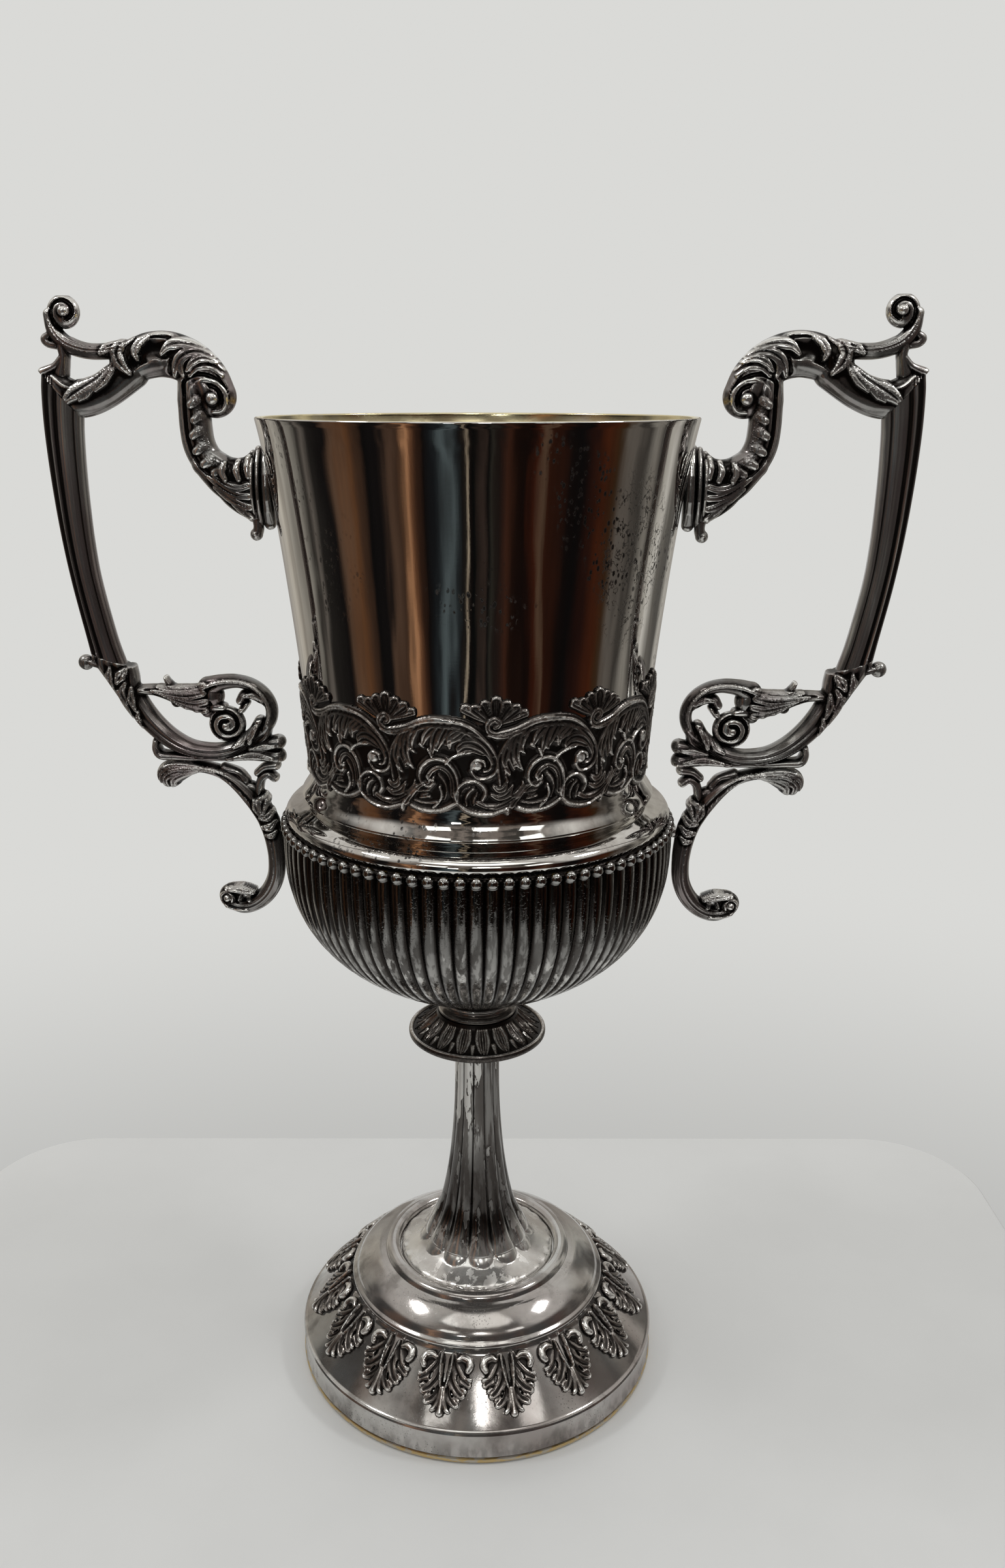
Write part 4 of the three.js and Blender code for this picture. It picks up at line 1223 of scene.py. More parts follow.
    # Curl beside it, with two leaves.
    cut("ribs", 1.15, 0.9, [(0.6, 260.5), (1, 263.4), (2.4, 265.6), (4.7, 266.9), (7.5, 266.8), (9.7, 265),
                            (10.3, 262.5), (9.3, 260.5)], taper=(1, 1, 1, 0.8))
    cut("ribs", 1.1, 0.75, [(4.2, 258.6), (4, 261), (5, 263.2), (6.6, 264.4)], taper=(0.6, 1.1, 0.7))
    cut("ribs", 1.0, 0.7, [(6.6, 258.6), (6.6, 260.6), (7.6, 262.6)], taper=(0.6, 1.1, 0.6))
    cut("ribs", 0.9, 0.7, [(2.2, 261.6), (3.2, 264), (5.4, 265)], taper=(0.5, 1, 0.5))
    return carving


class TROPHY_OT_frieze(bpy.types.Operator):
    """Eleven castings of shells and scrolling acanthus round the waist of the wall"""
    bl_idname = "trophy.frieze"
    bl_label = "Frieze"

    grain: FloatProperty(
        name="Grain", description="Mesh size of the relief, in millimetres", default=0.31, min=0.1,
    )

    def execute(self, context):
        finish, shape = context.scene.cup_finish, context.scene.cup_shape
        silver = ornament_silver(finish)
        columns = round(FRIEZE_PITCH / self.grain) + 1
        rows = round((FRIEZE_HIGH - FRIEZE_LOW) / self.grain)
        x = np.linspace(-FRIEZE_PITCH / 2, FRIEZE_PITCH / 2, columns)
        z = np.linspace(FRIEZE_LOW, FRIEZE_HIGH, rows)
        across, up = np.meshgrid(x, z)
        carving = frieze_carving(across, up, shape.frieze_height)
        # Oxide in the hollows, and bright crests that are partly wear and partly painted highlight.
        crest = carving.rubbed(base=0.30, contrast=1.05, rise=0.20)
        height = carving.softened()
        kept = solid_cells(height > THINNEST)
        ground, sunk = 0.25, 0.10
        for k in range(FRIEZE_COUNT):
            angle = FRIEZE_FIRST + k * FULL_TURN / FRIEZE_COUNT + across / FRIEZE_RADIUS
            front = round_axis(radius_at(up) + ground + height, angle, up)
            drop = -round_axis(height + (ground + sunk), angle, np.zeros_like(up))
            shell(
                f"frieze_casting_{k + 1:02d}", front, kept, columns, drop, silver,
                f"frieze_panel_{k + 1:02d}", crest,
            )
        return {"FINISHED"}


LEAF_COUNT = 15
LEAF_FIRST = math.radians(2.4)
LEAF_LENGTH = 23.6
LEAF_RADIUS = 62.0
LEAF_SPREAD = 1.08
LEAF_BACK = 0.12


def foot_leaf_carving(x, s, rise):
    """One acanthus leaf. x runs across it in millimetres at the slope's middle radius, and s down it."""
    carving = Carving(x, s)

    def pair(kind, width, height, points, **more):
        """A stroke and its mirror image on the other side of the midrib."""
        for side in (-1, 1):
            carving.stroke(kind, width, height * rise, [(side * u, v) for u, v in points], **more)

    # Low body, then the fingers that lie on it from the top curl to the tip.
    pair("round", 4.6, 0.34, [(4.6, 3.0), (4.8, 8), (3.6, 13), (1.6, 18)], taper=(0.9, 1, 0.85, 0.5))
    pair("leaf", 2.3, 0.80, [(2.8, 1.0), (3.4, 4.6), (5.6, 8.4), (8.0, 10.4), (9.0, 11.2)],
         taper=(0.55, 0.85, 1.05, 1, 0.6), lift=(0.8, 0.85, 0.95, 1.1, 0.9))
    pair("round", 1.9, 0.98, [(4.4, 2.6), (6.4, 1.8), (8.6, 2.6), (9.3, 4.6), (8.6, 6.2)],
         taper=(0.6, 1, 1.05, 1, 0.8), lift=(0.8, 0.9, 1, 1.1, 1))
    pair("leaf", 2.2, 0.84, [(1.9, 5.0), (2.6, 9.6), (4.6, 13.2), (6.6, 14.9)],
         taper=(0.5, 0.9, 1.1, 0.75), lift=(0.7, 0.9, 1.05, 0.95))
    pair("leaf", 1.9, 0.84, [(1.3, 10), (1.9, 14), (3.5, 17.2), (5.0, 18.4)],
         taper=(0.5, 0.95, 1.1, 0.7), lift=(0.7, 0.9, 1.05, 0.95))
    pair("round", 1.2, 0.86, [(0.7, 13), (0.9, 17.2), (1.9, 20.2), (2.6, 21.0)], taper=(0.6, 1, 1.1, 0.8))
    carving.stroke("round", 1.35, 0.98 * rise, [(0, 12.6), (0, 18), (0, 21.8)], taper=(0.5, 0.9, 1.1))
    # Scalloped ends of the fingers.
    pair("round", 1.0, 0.8, [(8.6, 9.2), (9.6, 9.4)])
    pair("round", 1.0, 0.78, [(7.0, 12.6), (7.9, 13.4)])
    pair("round", 0.9, 0.74, [(5.0, 16.2), (5.7, 16.9)])
    # Raised bright edge along the bare wedge, and a drilled eye between the two top fingers.
    pair("round", 0.5, 1.0, [(2.3, 0.8), (2.2, 4.6), (1.7, 8.6), (1.0, 12.4)])
    pair("groove", 0.55, 1.5, [(4.9, 8.2), (5.3, 10.4)], taper=(0.6, 1, 0.5))
    pair("groove", 0.4, 0.8, [(3.0, 13.6), (3.6, 15.4)])
    carving.height = np.maximum(carving.height, 0)
    return carving


class TROPHY_OT_foot_leaves(bpy.types.Operator):
    """The ring of acanthus leaves on the slope of the foot"""
    bl_idname = "trophy.foot_leaves"
    bl_label = "Foot leaves"

    grain: FloatProperty(
        name="Grain", description="Mesh size of the relief, in millimetres", default=0.26, min=0.1,
    )

    def execute(self, context):
        finish, shape = context.scene.cup_finish, context.scene.cup_shape
        silver = ornament_silver(finish)
        down = evenly(SLOPE[::-1], 200)
        steps = distances(down)
        half_width = LEAF_RADIUS * math.radians(11.6)
        x = np.arange(-half_width, half_width, self.grain)
        across, along = np.meshgrid(x, np.arange(0, LEAF_LENGTH, self.grain))
        carving = foot_leaf_carving(across / LEAF_SPREAD, along, shape.leaf_height)
        # Oxide in the hollows, and bright crests that are partly wear and partly painted highlight.
        crest = carving.rubbed(base=0.40, contrast=0.9, rise=0.08)
        height = carving.softened()
        kept = solid_cells(height > LEAF_BACK)
        radius = np.interp(along, steps, down[:, 0])
        rise = np.interp(along, steps, down[:, 1])
        slope = np.gradient(down, axis=0)
        lean = np.interp(along, steps, np.arctan2(-slope[:, 1], slope[:, 0]))
        out, up = np.sin(lean), np.cos(lean)
        for k in range(LEAF_COUNT):
            angle = LEAF_FIRST + (k + 0.5) * FULL_TURN / LEAF_COUNT + across / LEAF_RADIUS
            front, back = (
                round_axis(radius + out * lift, angle, rise + up * lift)
                for lift in (height + 0.2, np.full_like(height, LEAF_BACK))
            )
            shell(
                f"foot_acanthus_{k + 1:02d}", front, kept, len(x), back - front, silver,
                f"foot_leaf_{k + 1:02d}", crest,
            )
        return {"FINISHED"}


# ------------------------------------------------------------------ handle castings


# Value of a casting's field well away from it.
FAR = 3.0


class Casting:
    """A solid with equal front and back faces, built up from bars in the plane of the handles, with
    a carved relief on both faces. Places are [reach from the cup's axis, height]. Its field is
    negative inside."""

    def __init__(self, low, high, half_depth, grain):
        self.grain, self.low = grain, np.asarray(low, float) - 3 * grain
        counts = np.ceil((np.asarray(high) + 3 * grain - self.low) / grain).astype(int) + 1
        axes = [self.low[k] + grain * np.arange(counts[k]) for k in (0, 1)]
        self.u, self.z = np.meshgrid(*axes, indexing="ij")
        self.y = grain * np.arange(math.ceil((half_depth + 3 * grain) / grain) + 1)
        self.field = np.full((*self.u.shape, len(self.y)), FAR, np.float32)
        self.relief = Carving(self.u, self.z)

    def bar(self, width, depth, points, taper=(1, 1), deepen=(1, 1), square=2.2, rims=()):
        """A bar along a smooth curve, with a half width and a half depth. rims are
        (place across, half width, height) of ridges along its faces."""
        curve = spline(points, 8 * len(points))
        widest = width * max(taper)
        low, high = curve.min(0) - widest - 1.5, curve.max(0) + widest + 1.5
        near = (self.u > low[0]) & (self.u < high[0]) & (self.z > low[1]) & (self.z < high[1])
        first, last = np.argwhere(near).min(0), np.argwhere(near).max(0) + 1
        block = (slice(first[0], last[0]), slice(first[1], last[1]))
        gap, share, side = near_curve(self.u[block], self.z[block], curve)
        half, deep = width * graded(share, taper), depth * graded(share, deepen)
        across = gap / half
        for place, rim_width, rim_height in rims:
            deep = deep + rim_height * bell(across * side, place, rim_width)
        deep = np.maximum(deep, 0.4)[..., None]
        body = (across[..., None] ** square + (self.y / deep) ** square) ** (1 / square)
        solid = ((body - 1) * np.minimum(half[..., None], deep)).astype(np.float32)
        self.field[block] = np.minimum(self.field[block], solid)

    def ball(self, radius, depth, place):
        """A round knob."""
        self.bar(radius, depth, [place, (place[0] + 0.02, place[1])], square=2)

    def trim(self, start, end, side, beyond_reach=0.0):
        """Cuts away all that lies on one side of a line, further out than a reach."""
        run = np.asarray(end, float) - start
        run /= np.linalg.norm(run)
        cut = ((self.u - start[0]) * run[1] - (self.z - start[1]) * run[0]) * side
        cut = np.where(self.u > beyond_reach, cut, -FAR)
        self.field = np.maximum(self.field, cut[..., None].astype(np.float32))

    def keep_outside(self, radius):
        """Hollows the casting to lie on a turned wall of the given radius at each height."""
        distance = radius[..., None] - np.hypot(self.u[..., None], self.y)
        self.field = np.maximum(self.field, distance.astype(np.float32))

    def carve(self):
        """Moves both faces in or out by the relief."""
        steps = np.arange(len(self.y)) - (self.relief.height / self.grain)[..., None]
        steps = np.clip(steps, 0, len(self.y) - 1.001)
        below = steps.astype(int)
        part = (steps - below).astype(np.float32)
        near = np.take_along_axis(self.field, below, 2)
        self.field = near * (1 - part) + np.take_along_axis(self.field, below + 1, 2) * part

    def mesh(self):
        """Vertices in millimetres, faces, how far each vertex stands on a crest, and the matting."""
        full = np.concatenate([self.field[:, :, :0:-1], self.field], axis=2)
        grid = vdb.FloatGrid(FAR)
        grid.copyFromArray(np.ascontiguousarray(full))
        places, quads = grid.convertToQuads(0.0)
        filled = np.clip(0.5 - full / (2 * self.grain), 0, 1)
        wide = blurred(blurred(filled, 3), 3)
        crest = 0.45 + (0.5 - sample(wide, places)) * 2.2
        index = np.round(places[:, :2]).astype(int)
        height = self.relief.height.astype(np.float32)
        local = height - blurred(blurred(height, 4), 4)
        crest = np.clip(crest + local[index[:, 0], index[:, 1]] * 0.9, 0, 1)
        matted = self.relief.matted[index[:, 0], index[:, 1]]
        u, z = (self.low + places[:, :2] * self.grain).T
        y = (places[:, 2] - (len(self.y) - 1)) * self.grain
        return np.column_stack([u, y, z]), quads[:, ::-1].tolist(), {"crest": crest, "matted": matted}


def sample(field, places):
    """A grid's values between its points."""
    whole = np.clip(np.floor(places).astype(int), 0, np.array(field.shape) - 2)
    part = places - whole
    total = np.zeros(len(places))
    for corner in np.ndindex(2, 2, 2):
        weight = np.prod(np.where(corner, part, 1 - part), axis=1)
        total += weight * field[tuple((whole + corner).T)]
    return total


# Mesh size of the castings, the slanted joints of the grip from their outer to their inner edge, and
# the height at which the lower scroll stands on the leg.
GRAIN = 0.33
GRIP_TOP = ((152.6, 395.2), (139.2, 380.4))
GRIP_FOOT = ((143.5, 296.2), (130.7, 292.2))
LEG_TOP = 255.5


def upper_scroll():
    """Crest curl, arm, volute and the neck that comes down to the mount plate."""
    part = Casting((79.5, 341), (154, 419.5), 7.4, GRAIN)
    # Crest arm with its curl, the knob beside it and the strut below.
    part.bar(2.9, 3.6, [(148.0, 414.5), (146.8, 409.2), (142.9, 404.9), (136.6, 402.6), (130, 402.3),
                        (123, 403)],
             taper=(0.75, 0.95, 1.0, 0.95, 0.95, 1.2),
             rims=[(-0.7, 0.13, 0.6), (-0.3, 0.12, 0.5), (0.1, 0.12, 0.4)])
    part.ball(5.7, 3.6, (143.2, 415.3))
    part.bar(1.5, 2.8, [(146.4, 404.4), (148.9, 404.9), (150.0, 406.4), (148.6, 407.8)],
             taper=(1, 1, 1.3, 0.9))
    part.bar(1.8, 3.4, [(144.4, 404), (144.1, 400), (145.6, 395)], taper=(1.1, 0.95, 1.5))
    part.bar(1.5, 3.4, [(144.8, 400), (147.4, 397.4), (152, 395.4)], taper=(1, 1, 1.2))
    # Arch round the volute, and the leafy arm down to the grip.
    part.bar(7.4, 4.6, [(121.6, 398.4), (113, 401.2), (106, 401.0), (99.4, 398.2), (94.4, 393.4),
                        (91.8, 387.4)],
             taper=(0.92, 1.03, 1.05, 1.03, 1, 1))
    part.bar(6.4, 4.4, [(121, 396), (127, 391.6), (132, 388.7), (138, 386.8), (143, 386.9), (148, 390.6)],
             taper=(1.02, 0.98, 0.97, 1.02, 1.05, 0.8))
    # Neck, flaring to the mount plate.
    part.bar(5.7, 4.6, [(100.2, 393), (99.6, 384), (99.4, 377), (98.6, 371), (96.2, 366), (92.5, 362.2)],
             taper=(0.8, 0.98, 1, 1, 1.0, 1.05))
    part.bar(5.7, 5.0, [(96, 365.2), (91, 361), (87, 358.8), (83.5, 357.6), (79.6, 357.0)],
             taper=(1.0, 1.15, 1.35, 1.8, 2.25), square=2.6)
    part.trim(*GRIP_TOP, -1)

    carve = part.relief
    # Bevel line inside the outer edge, spirals of the volute and of the curl.
    carve.strokes("groove", 0.55, 0.7, [
        [(130, 403.6), (124.6, 404.2), (119.6, 405.8), (113, 407.0), (106.6, 406.8), (100.4, 404.6),
         (95, 400.6), (90.2, 394.8), (87.2, 389), (87.0, 385.4)],
        ([(101.8, 388), (101.6, 392.2), (97.6, 394.6), (92.4, 394.2), (88.6, 391.2), (87.2, 387),
          (88.6, 383.4)], 0.85, 1.1),
        ([(97, 383.6), (97.2, 387.8), (94.4, 390.8), (90.8, 390.2), (89.0, 387.2),
          (89.6, 384.6)], 0.9, 1.2),
        ([(141.6, 407.6), (145.2, 410.4), (146.9, 414.2), (145.8, 417.8), (142.6, 419.0), (139.9, 417.2),
          (139.8, 414.4), (141.6, 412.8)], 0.85, 1.3),
        # Dark smooth trough of the neck, and the one in the arch.
        ([(101.9, 392), (102.0, 385), (101.9, 378), (101.2, 371.6), (98.8, 365.6), (94, 360.6),
          (89, 357.4)], 1.0, 0.9),
        ([(107.6, 402.6), (111.6, 403.0), (115.4, 401.6), (117.0, 398.6)], 3.4, 1.2),
        ([(105.4, 399), (106.4, 395.6)], 1.3, 0.8),
    ])
    carve.strokes("round", 0.7, 0.5, [
        [(99.6, 384.6), (99.4, 389.4), (95.4, 392.6), (91, 392.2), (87.8, 389.2), (87.4, 385.6),
         (89.2, 382.4), (92.6, 382)],
        [(87.8, 396.4), (91.6, 399), (96, 398.6), (99.2, 396)],
        [(88.4, 394.4), (92, 396.8), (96.2, 396.6), (99.4, 394.2)],
        [(100.6, 405.6), (106, 407.9), (112, 408.0), (117, 406.4)],
        ([(110, 398.0), (116, 396.0), (121.4, 391.6), (127, 387.4), (134, 384.6),
          (140.6, 384.2)], 1.6, 0.2),
        [(137, 390.8), (141, 390.2), (144.6, 391), (148.2, 394.2)],
    ])
    carve.ball(2.2, 1.9, (92.2, 386.6))
    carve.ball(1.8, 1.7, (142.4, 415.4))
    # Leaves that sweep round the arch, over the arm and down the neck.
    carve.strokes("leaf", 2.1, 1.15, [
        [(94.6, 403.6), (100.8, 405.0), (105.8, 404.2), (108.8, 401.4)],
        [(91.2, 400.6), (96, 402.2), (100.6, 401.2), (103.8, 398), (104.9, 394.4)],
        ([(99.4, 400.6), (102, 398.6), (102.4, 396), (101.4, 393.6)], 1.2),
        ([(90, 398.8), (94.5, 399.9), (98.2, 398.4), (100.4, 395.6)], 1.4, 1.3),
    ], taper=(0.5, 1, 1.05, 0.35))
    carve.strokes("leaf", 1.9, 1.2, [
        ([(119.4, 406.6), (123, 404.6), (124.6, 401.2), (123, 397.8), (120.4, 395)], 2.4, 1.6),
        ([(113.2, 407.4), (116.6, 405), (118, 402), (117.2, 399.4)], 1.6, 1.3),
        ([(124, 405.2), (127.4, 403.8), (130.6, 401.6)], 1.8, 1.3),
        ([(124.8, 399.4), (127.4, 396), (130.4, 392), (132.8, 389.4)], 1.9, 1.4),
        ([(128.2, 396.6), (132.6, 393.2), (137.4, 390.2), (141.8, 387.4), (144.6, 384.7)], 3.0, 1.5),
        ([(133, 391), (136, 388.4), (138.8, 386)], 1.5, 1.2),
        ([(97.2, 387), (97, 381), (96.8, 375), (95.6, 369.4), (92.8, 365)], 2.0, 0.7),
    ], taper=(0.5, 1, 1.05, 0.35), matted=True)
    carve.stroke("round", 3.6, 0.65, [(96.4, 389), (96.0, 382), (95.8, 375), (94.6, 369.4), (91.4, 365)])
    scales = [(99.8, 384.6), (98.8, 379.4), (99.6, 374.2), (98.8, 368.8), (96.2, 364.4), (92.6, 361.4)]
    for reach, height in scales:
        carve.stroke("round", 2.0, 1.0, [(reach - 2.6, height + 1.6), (reach, height)], taper=(1.1, 0.7))
    # Lobes and fingers on the flare.
    carve.strokes("round", 1.6, 1.5, [
        [(84.2, 365.6), (84.8, 362.6), (84.0, 359.4)], [(89.0, 364.8), (89.9, 361.8), (88.8, 359.4)],
        [(80.6, 367), (81.0, 363.6), (80.6, 360.4)],
    ], taper=(0.6, 1, 0.7))
    carve.strokes("leaf", 1.3, 0.9, [
        [(80.8, 357.2), (84, 356.4), (88, 357.2), (92.6, 360)],
        [(80.8, 353.4), (84.6, 353.8), (89.4, 355.8), (95, 360.2)],
        [(80.8, 349.6), (84, 350.6), (88.6, 353), (93, 356.4)], [(80.8, 346), (83.4, 348), (86.6, 350.6)],
    ], taper=(1, 1.1, 0.9, 0.5))
    # The reeds of the grip run up under the arm.
    for k in range(4):
        start, end = (148.2 + k * 1.15, 389.6 + k * 0.9), (148.2 + k * 1.05, 393.2 + k * 0.5)
        carve.stroke("groove", 0.35, 0.5, [start, end])
    part.carve()
    return part.mesh()


def grip():
    """Bar with two deep flutes along its outer side and faint ribs along its face."""
    rows, columns, half_depth = 112, 144, 5.2
    outer = spline([
        GRIP_FOOT[0], (144.7, 303), (148.2, 322), (150.7, 340), (152.4, 358.6), (153.3, 376), (153.2, 389),
        GRIP_TOP[0],
    ], rows)
    inner = spline([
        GRIP_FOOT[1], (133.5, 302), (137.5, 322), (139.0, 336), (139.6, 349.5), (139.8, 363), (139.6, 374),
        GRIP_TOP[1],
    ], rows)
    turns = np.arange(columns) * FULL_TURN / columns
    across = np.sign(np.cos(turns)) * np.abs(np.cos(turns)) ** 0.9
    face = np.sign(np.sin(turns)) * (1 - np.abs(across) ** 2.5) ** (1 / 2.3)
    # Flutes and ribs: place across, half width and height.
    lines = [
        (0.20, 0.10, -0.9), (0.66, 0.13, -1.0), (0.42, 0.035, 0.25), (0.03, 0.03, 0.2), (-0.18, 0.03, 0.14),
        (-0.36, 0.03, 0.12), (-0.66, 0.05, -0.45), (0.93, 0.05, 0.2),
    ]
    relief = sum(height * bell(across, place, width) for place, width, height in lines)
    depth = face * half_depth + np.sign(np.sin(turns)) * relief * np.clip(np.abs(face) * 3, 0, 1)
    middle, reach = (outer + inner) / 2, (outer - inner) / 2
    flat = middle[:, None] + reach[:, None] * across[None, :, None]
    points = np.dstack([flat[..., 0], np.tile(depth, (rows, 1)), flat[..., 1]]).reshape(-1, 3)
    faces = grid_faces(rows, columns, wrap_columns=True).tolist()
    faces += [list(range(columns))[::-1], list(range(len(points) - columns, len(points)))]
    crest = np.clip(0.62 + relief * 0.9, 0, 1)
    return points, faces, {"crest": np.tile(crest, rows), "matted": np.zeros(len(points))}


def lower_scroll():
    """Great C-scroll with an inner volute, the leafy member over it and two lobes to the cup."""
    part = Casting((72.5, LEG_TOP), (149.2, 298.5), 7.2, GRAIN)
    # Neck under the grip and the band of the C.
    part.bar(4.4, 4.4, [(135.6, 293), (131.4, 284), (126.8, 275.6), (121.6, 268.8), (115.4, 263.3),
                        (108.6, 259.9), (101, 258.7), (94, 259.4), (88, 262.0), (83.8, 266.2),
                        (81.6, 270.6)],
             taper=(1.5, 1.24, 1.08, 1.0, 0.92, 0.84, 0.72, 0.7, 0.7, 0.68, 0.5),
             rims=[(0.62, 0.14, 0.7), (0.15, 0.12, 0.5), (-0.35, 0.16, 0.4)])
    part.bar(2.0, 4.6, [(128.9, 291.0), (128.4, 286.6), (128.4, 283)], taper=(0.9, 1, 1))
    # Bead outside the grip.
    part.bar(1.5, 3.0, [(140.6, 291.6), (143.4, 292.4)])
    part.ball(2.9, 3.0, (145.9, 292.4))
    part.bar(1.15, 2.8, [(142.4, 296.6), (142.2, 293.6)])
    # Ring volute, and the member that rises over it and runs out as a leaf.
    part.ball(7.0, 4.2, (94.0, 269.4))
    part.bar(2.4, 4.2, [(83.2, 265.4), (78.4, 269.6), (77.0, 275), (79.0, 280.2), (83.4, 284), (89, 285.7),
                        (95, 285.3), (100.4, 283.4)],
             taper=(1.2, 1.0, 0.95, 0.95, 0.95, 1.0, 1.2, 1.7))
    part.bar(4.2, 4.2, [(99.4, 280.2), (103.6, 279.4), (108.4, 279.8), (114, 281), (120, 282.2),
                        (126, 282.4)],
             taper=(1.15, 1.25, 1.05, 0.72, 0.50, 0.40))
    part.bar(1.2, 3.0, [(113.8, 283.6), (115.4, 285.4), (116.2, 287)], taper=(1, 1, 0.7))
    knobs = [(101.2, 274.4, 2.6), (104.8, 276.2, 2.5), (108.6, 277.2, 2.4), (112.6, 277.8, 2.2)]
    for reach, height, radius in knobs:
        part.ball(radius, 3.4, (reach, height))
    # Curl between the two holes.
    part.bar(1.9, 3.8, [(79, 278.2), (83, 280.6), (86.8, 280.8), (88.6, 278.6)], taper=(1, 1, 1.1, 0.9))
    part.bar(1.4, 3.6, [(86.2, 277.6), (88.2, 275)])
    part.bar(1.6, 3.6, [(95, 276), (98.6, 276.4)], taper=(1, 1.4))
    # Lobes towards the cup and the flange that rests on the leg.
    part.bar(2.6, 4.4, [(86, 260.8), (81, 261.4), (77.4, 262.2), (75.0, 262.6)],
             taper=(0.5, 0.85, 1.0, 1.1))
    part.bar(2.9, 4.6, [(94, 256.2), (87, 257.8), (80, 257.9), (75.6, 257.0)], taper=(0.4, 0.8, 1.0, 1.15))
    part.bar(1.8, 4.0, [(83.6, 262.2), (79.8, 264.6), (78.2, 268)], taper=(1, 1, 0.7))
    part.bar(1.7, 4.2, [(121.2, 262.6), (121.4, 259.6), (119.6, 257.2), (113, 256.8), (104, 256.4),
                        (95, 256.4), (88, 257)],
             taper=(0.9, 1.1, 1, 0.8, 0.7, 0.7, 0.7))
    part.trim((70, LEG_TOP), (150, LEG_TOP), 1)
    part.trim(*GRIP_FOOT, 1, beyond_reach=125)

    carve = part.relief
    carve.strokes("groove", 1.0, 1.3, [
        ([(89.6, 264.4), (94.6, 263.6), (98.4, 266), (99.4, 270), (97.4, 273.4), (93.6, 274.4),
          (90.4, 272.4), (89.8, 269), (91.8, 266.8), (94.6, 266.8), (96.2, 268.8), (95.4, 271),
          (93.4, 271.2)], 0.9, 1.5),
        ([(97.4, 285), (100.2, 283), (100.9, 280), (99.4, 277.6)], 0.8, 1.3),
        ([(80.8, 268), (79.6, 273), (80.8, 278), (84.6, 282.2)], 0.7, 0.7),
        ([(104, 283.2), (110, 282.4), (117, 283.0), (123.6, 282.8)], 0.5, 0.7),
        ([(108, 279.4), (114, 279.9), (120.6, 281.2)], 0.45, 0.7),
        ([(84.4, 279), (86.6, 278), (87.8, 276.2)], 0.6, 0.8),
    ])
    carve.strokes("round", 0.65, 0.8, [
        [(78.6, 270), (77.2, 275), (79.4, 280.6), (84, 284.8), (89.6, 286.4), (95.6, 286), (101, 284.2),
         (106, 283.2)],
        ([(89.6, 262.2), (86.4, 265.4), (84.8, 270)], 0.8, 0.7),
    ], matted=True)
    carve.ball(1.3, 1.0, (94.0, 269.3))
    # Scaly leaf that runs out from the ring along the tail.
    carve.strokes("leaf", 1.5, 1.1, [
        [(101.4, 284.6), (107, 283.4), (113, 283.2), (119, 284)],
        [(101.8, 281.8), (107, 280.8), (113, 281.2), (121, 282.6)],
        [(101, 278.6), (105.6, 277.8), (111, 279), (117, 281)],
        [(101.4, 275.2), (105, 275.2), (109.4, 276.8), (113.6, 279)],
    ], taper=(0.9, 1.15, 0.9, 0.35), matted=True)
    carve.strokes("leaf", 1.5, 1.2, [
        ([(130, 290.4), (131.8, 288.4), (133.6, 285.6)], 2.1, 1.6),
        ([(135.8, 290.8), (136.4, 287.6), (135.4, 284)], 1.6, 1.4),
        [(130.6, 285.4), (132, 281.8), (130.4, 277.8)],
        [(128.4, 283.6), (128.6, 279.4), (127.4, 275.2)],
        [(133.4, 282.4), (131.6, 277.4), (128.8, 272.4)],
        ([(126.4, 274.6), (126.8, 271.8), (125.6, 268.4)], 1.1),
        ([(82.4, 269.4), (84.4, 266.6), (85.2, 262.8)], 1.6, 1.2),
        ([(86.8, 266.6), (88.4, 263.6), (91.2, 261.2)], 1.5, 1.1),
        ([(85, 260.2), (80.6, 260.9), (76, 261.6)], 1.6, 0.8),
        ([(91, 256.9), (84, 258), (77, 256.9)], 1.9, 0.8),
        ([(103, 283.6), (108, 281.6), (113.4, 281.2)], 1.4, 0.8),
        ([(79.6, 279.2), (83.4, 281), (87, 280.6)], 1.3, 0.8),
    ], taper=(0.5, 1.1, 0.4), matted=True)
    part.carve()
    return part.mesh()


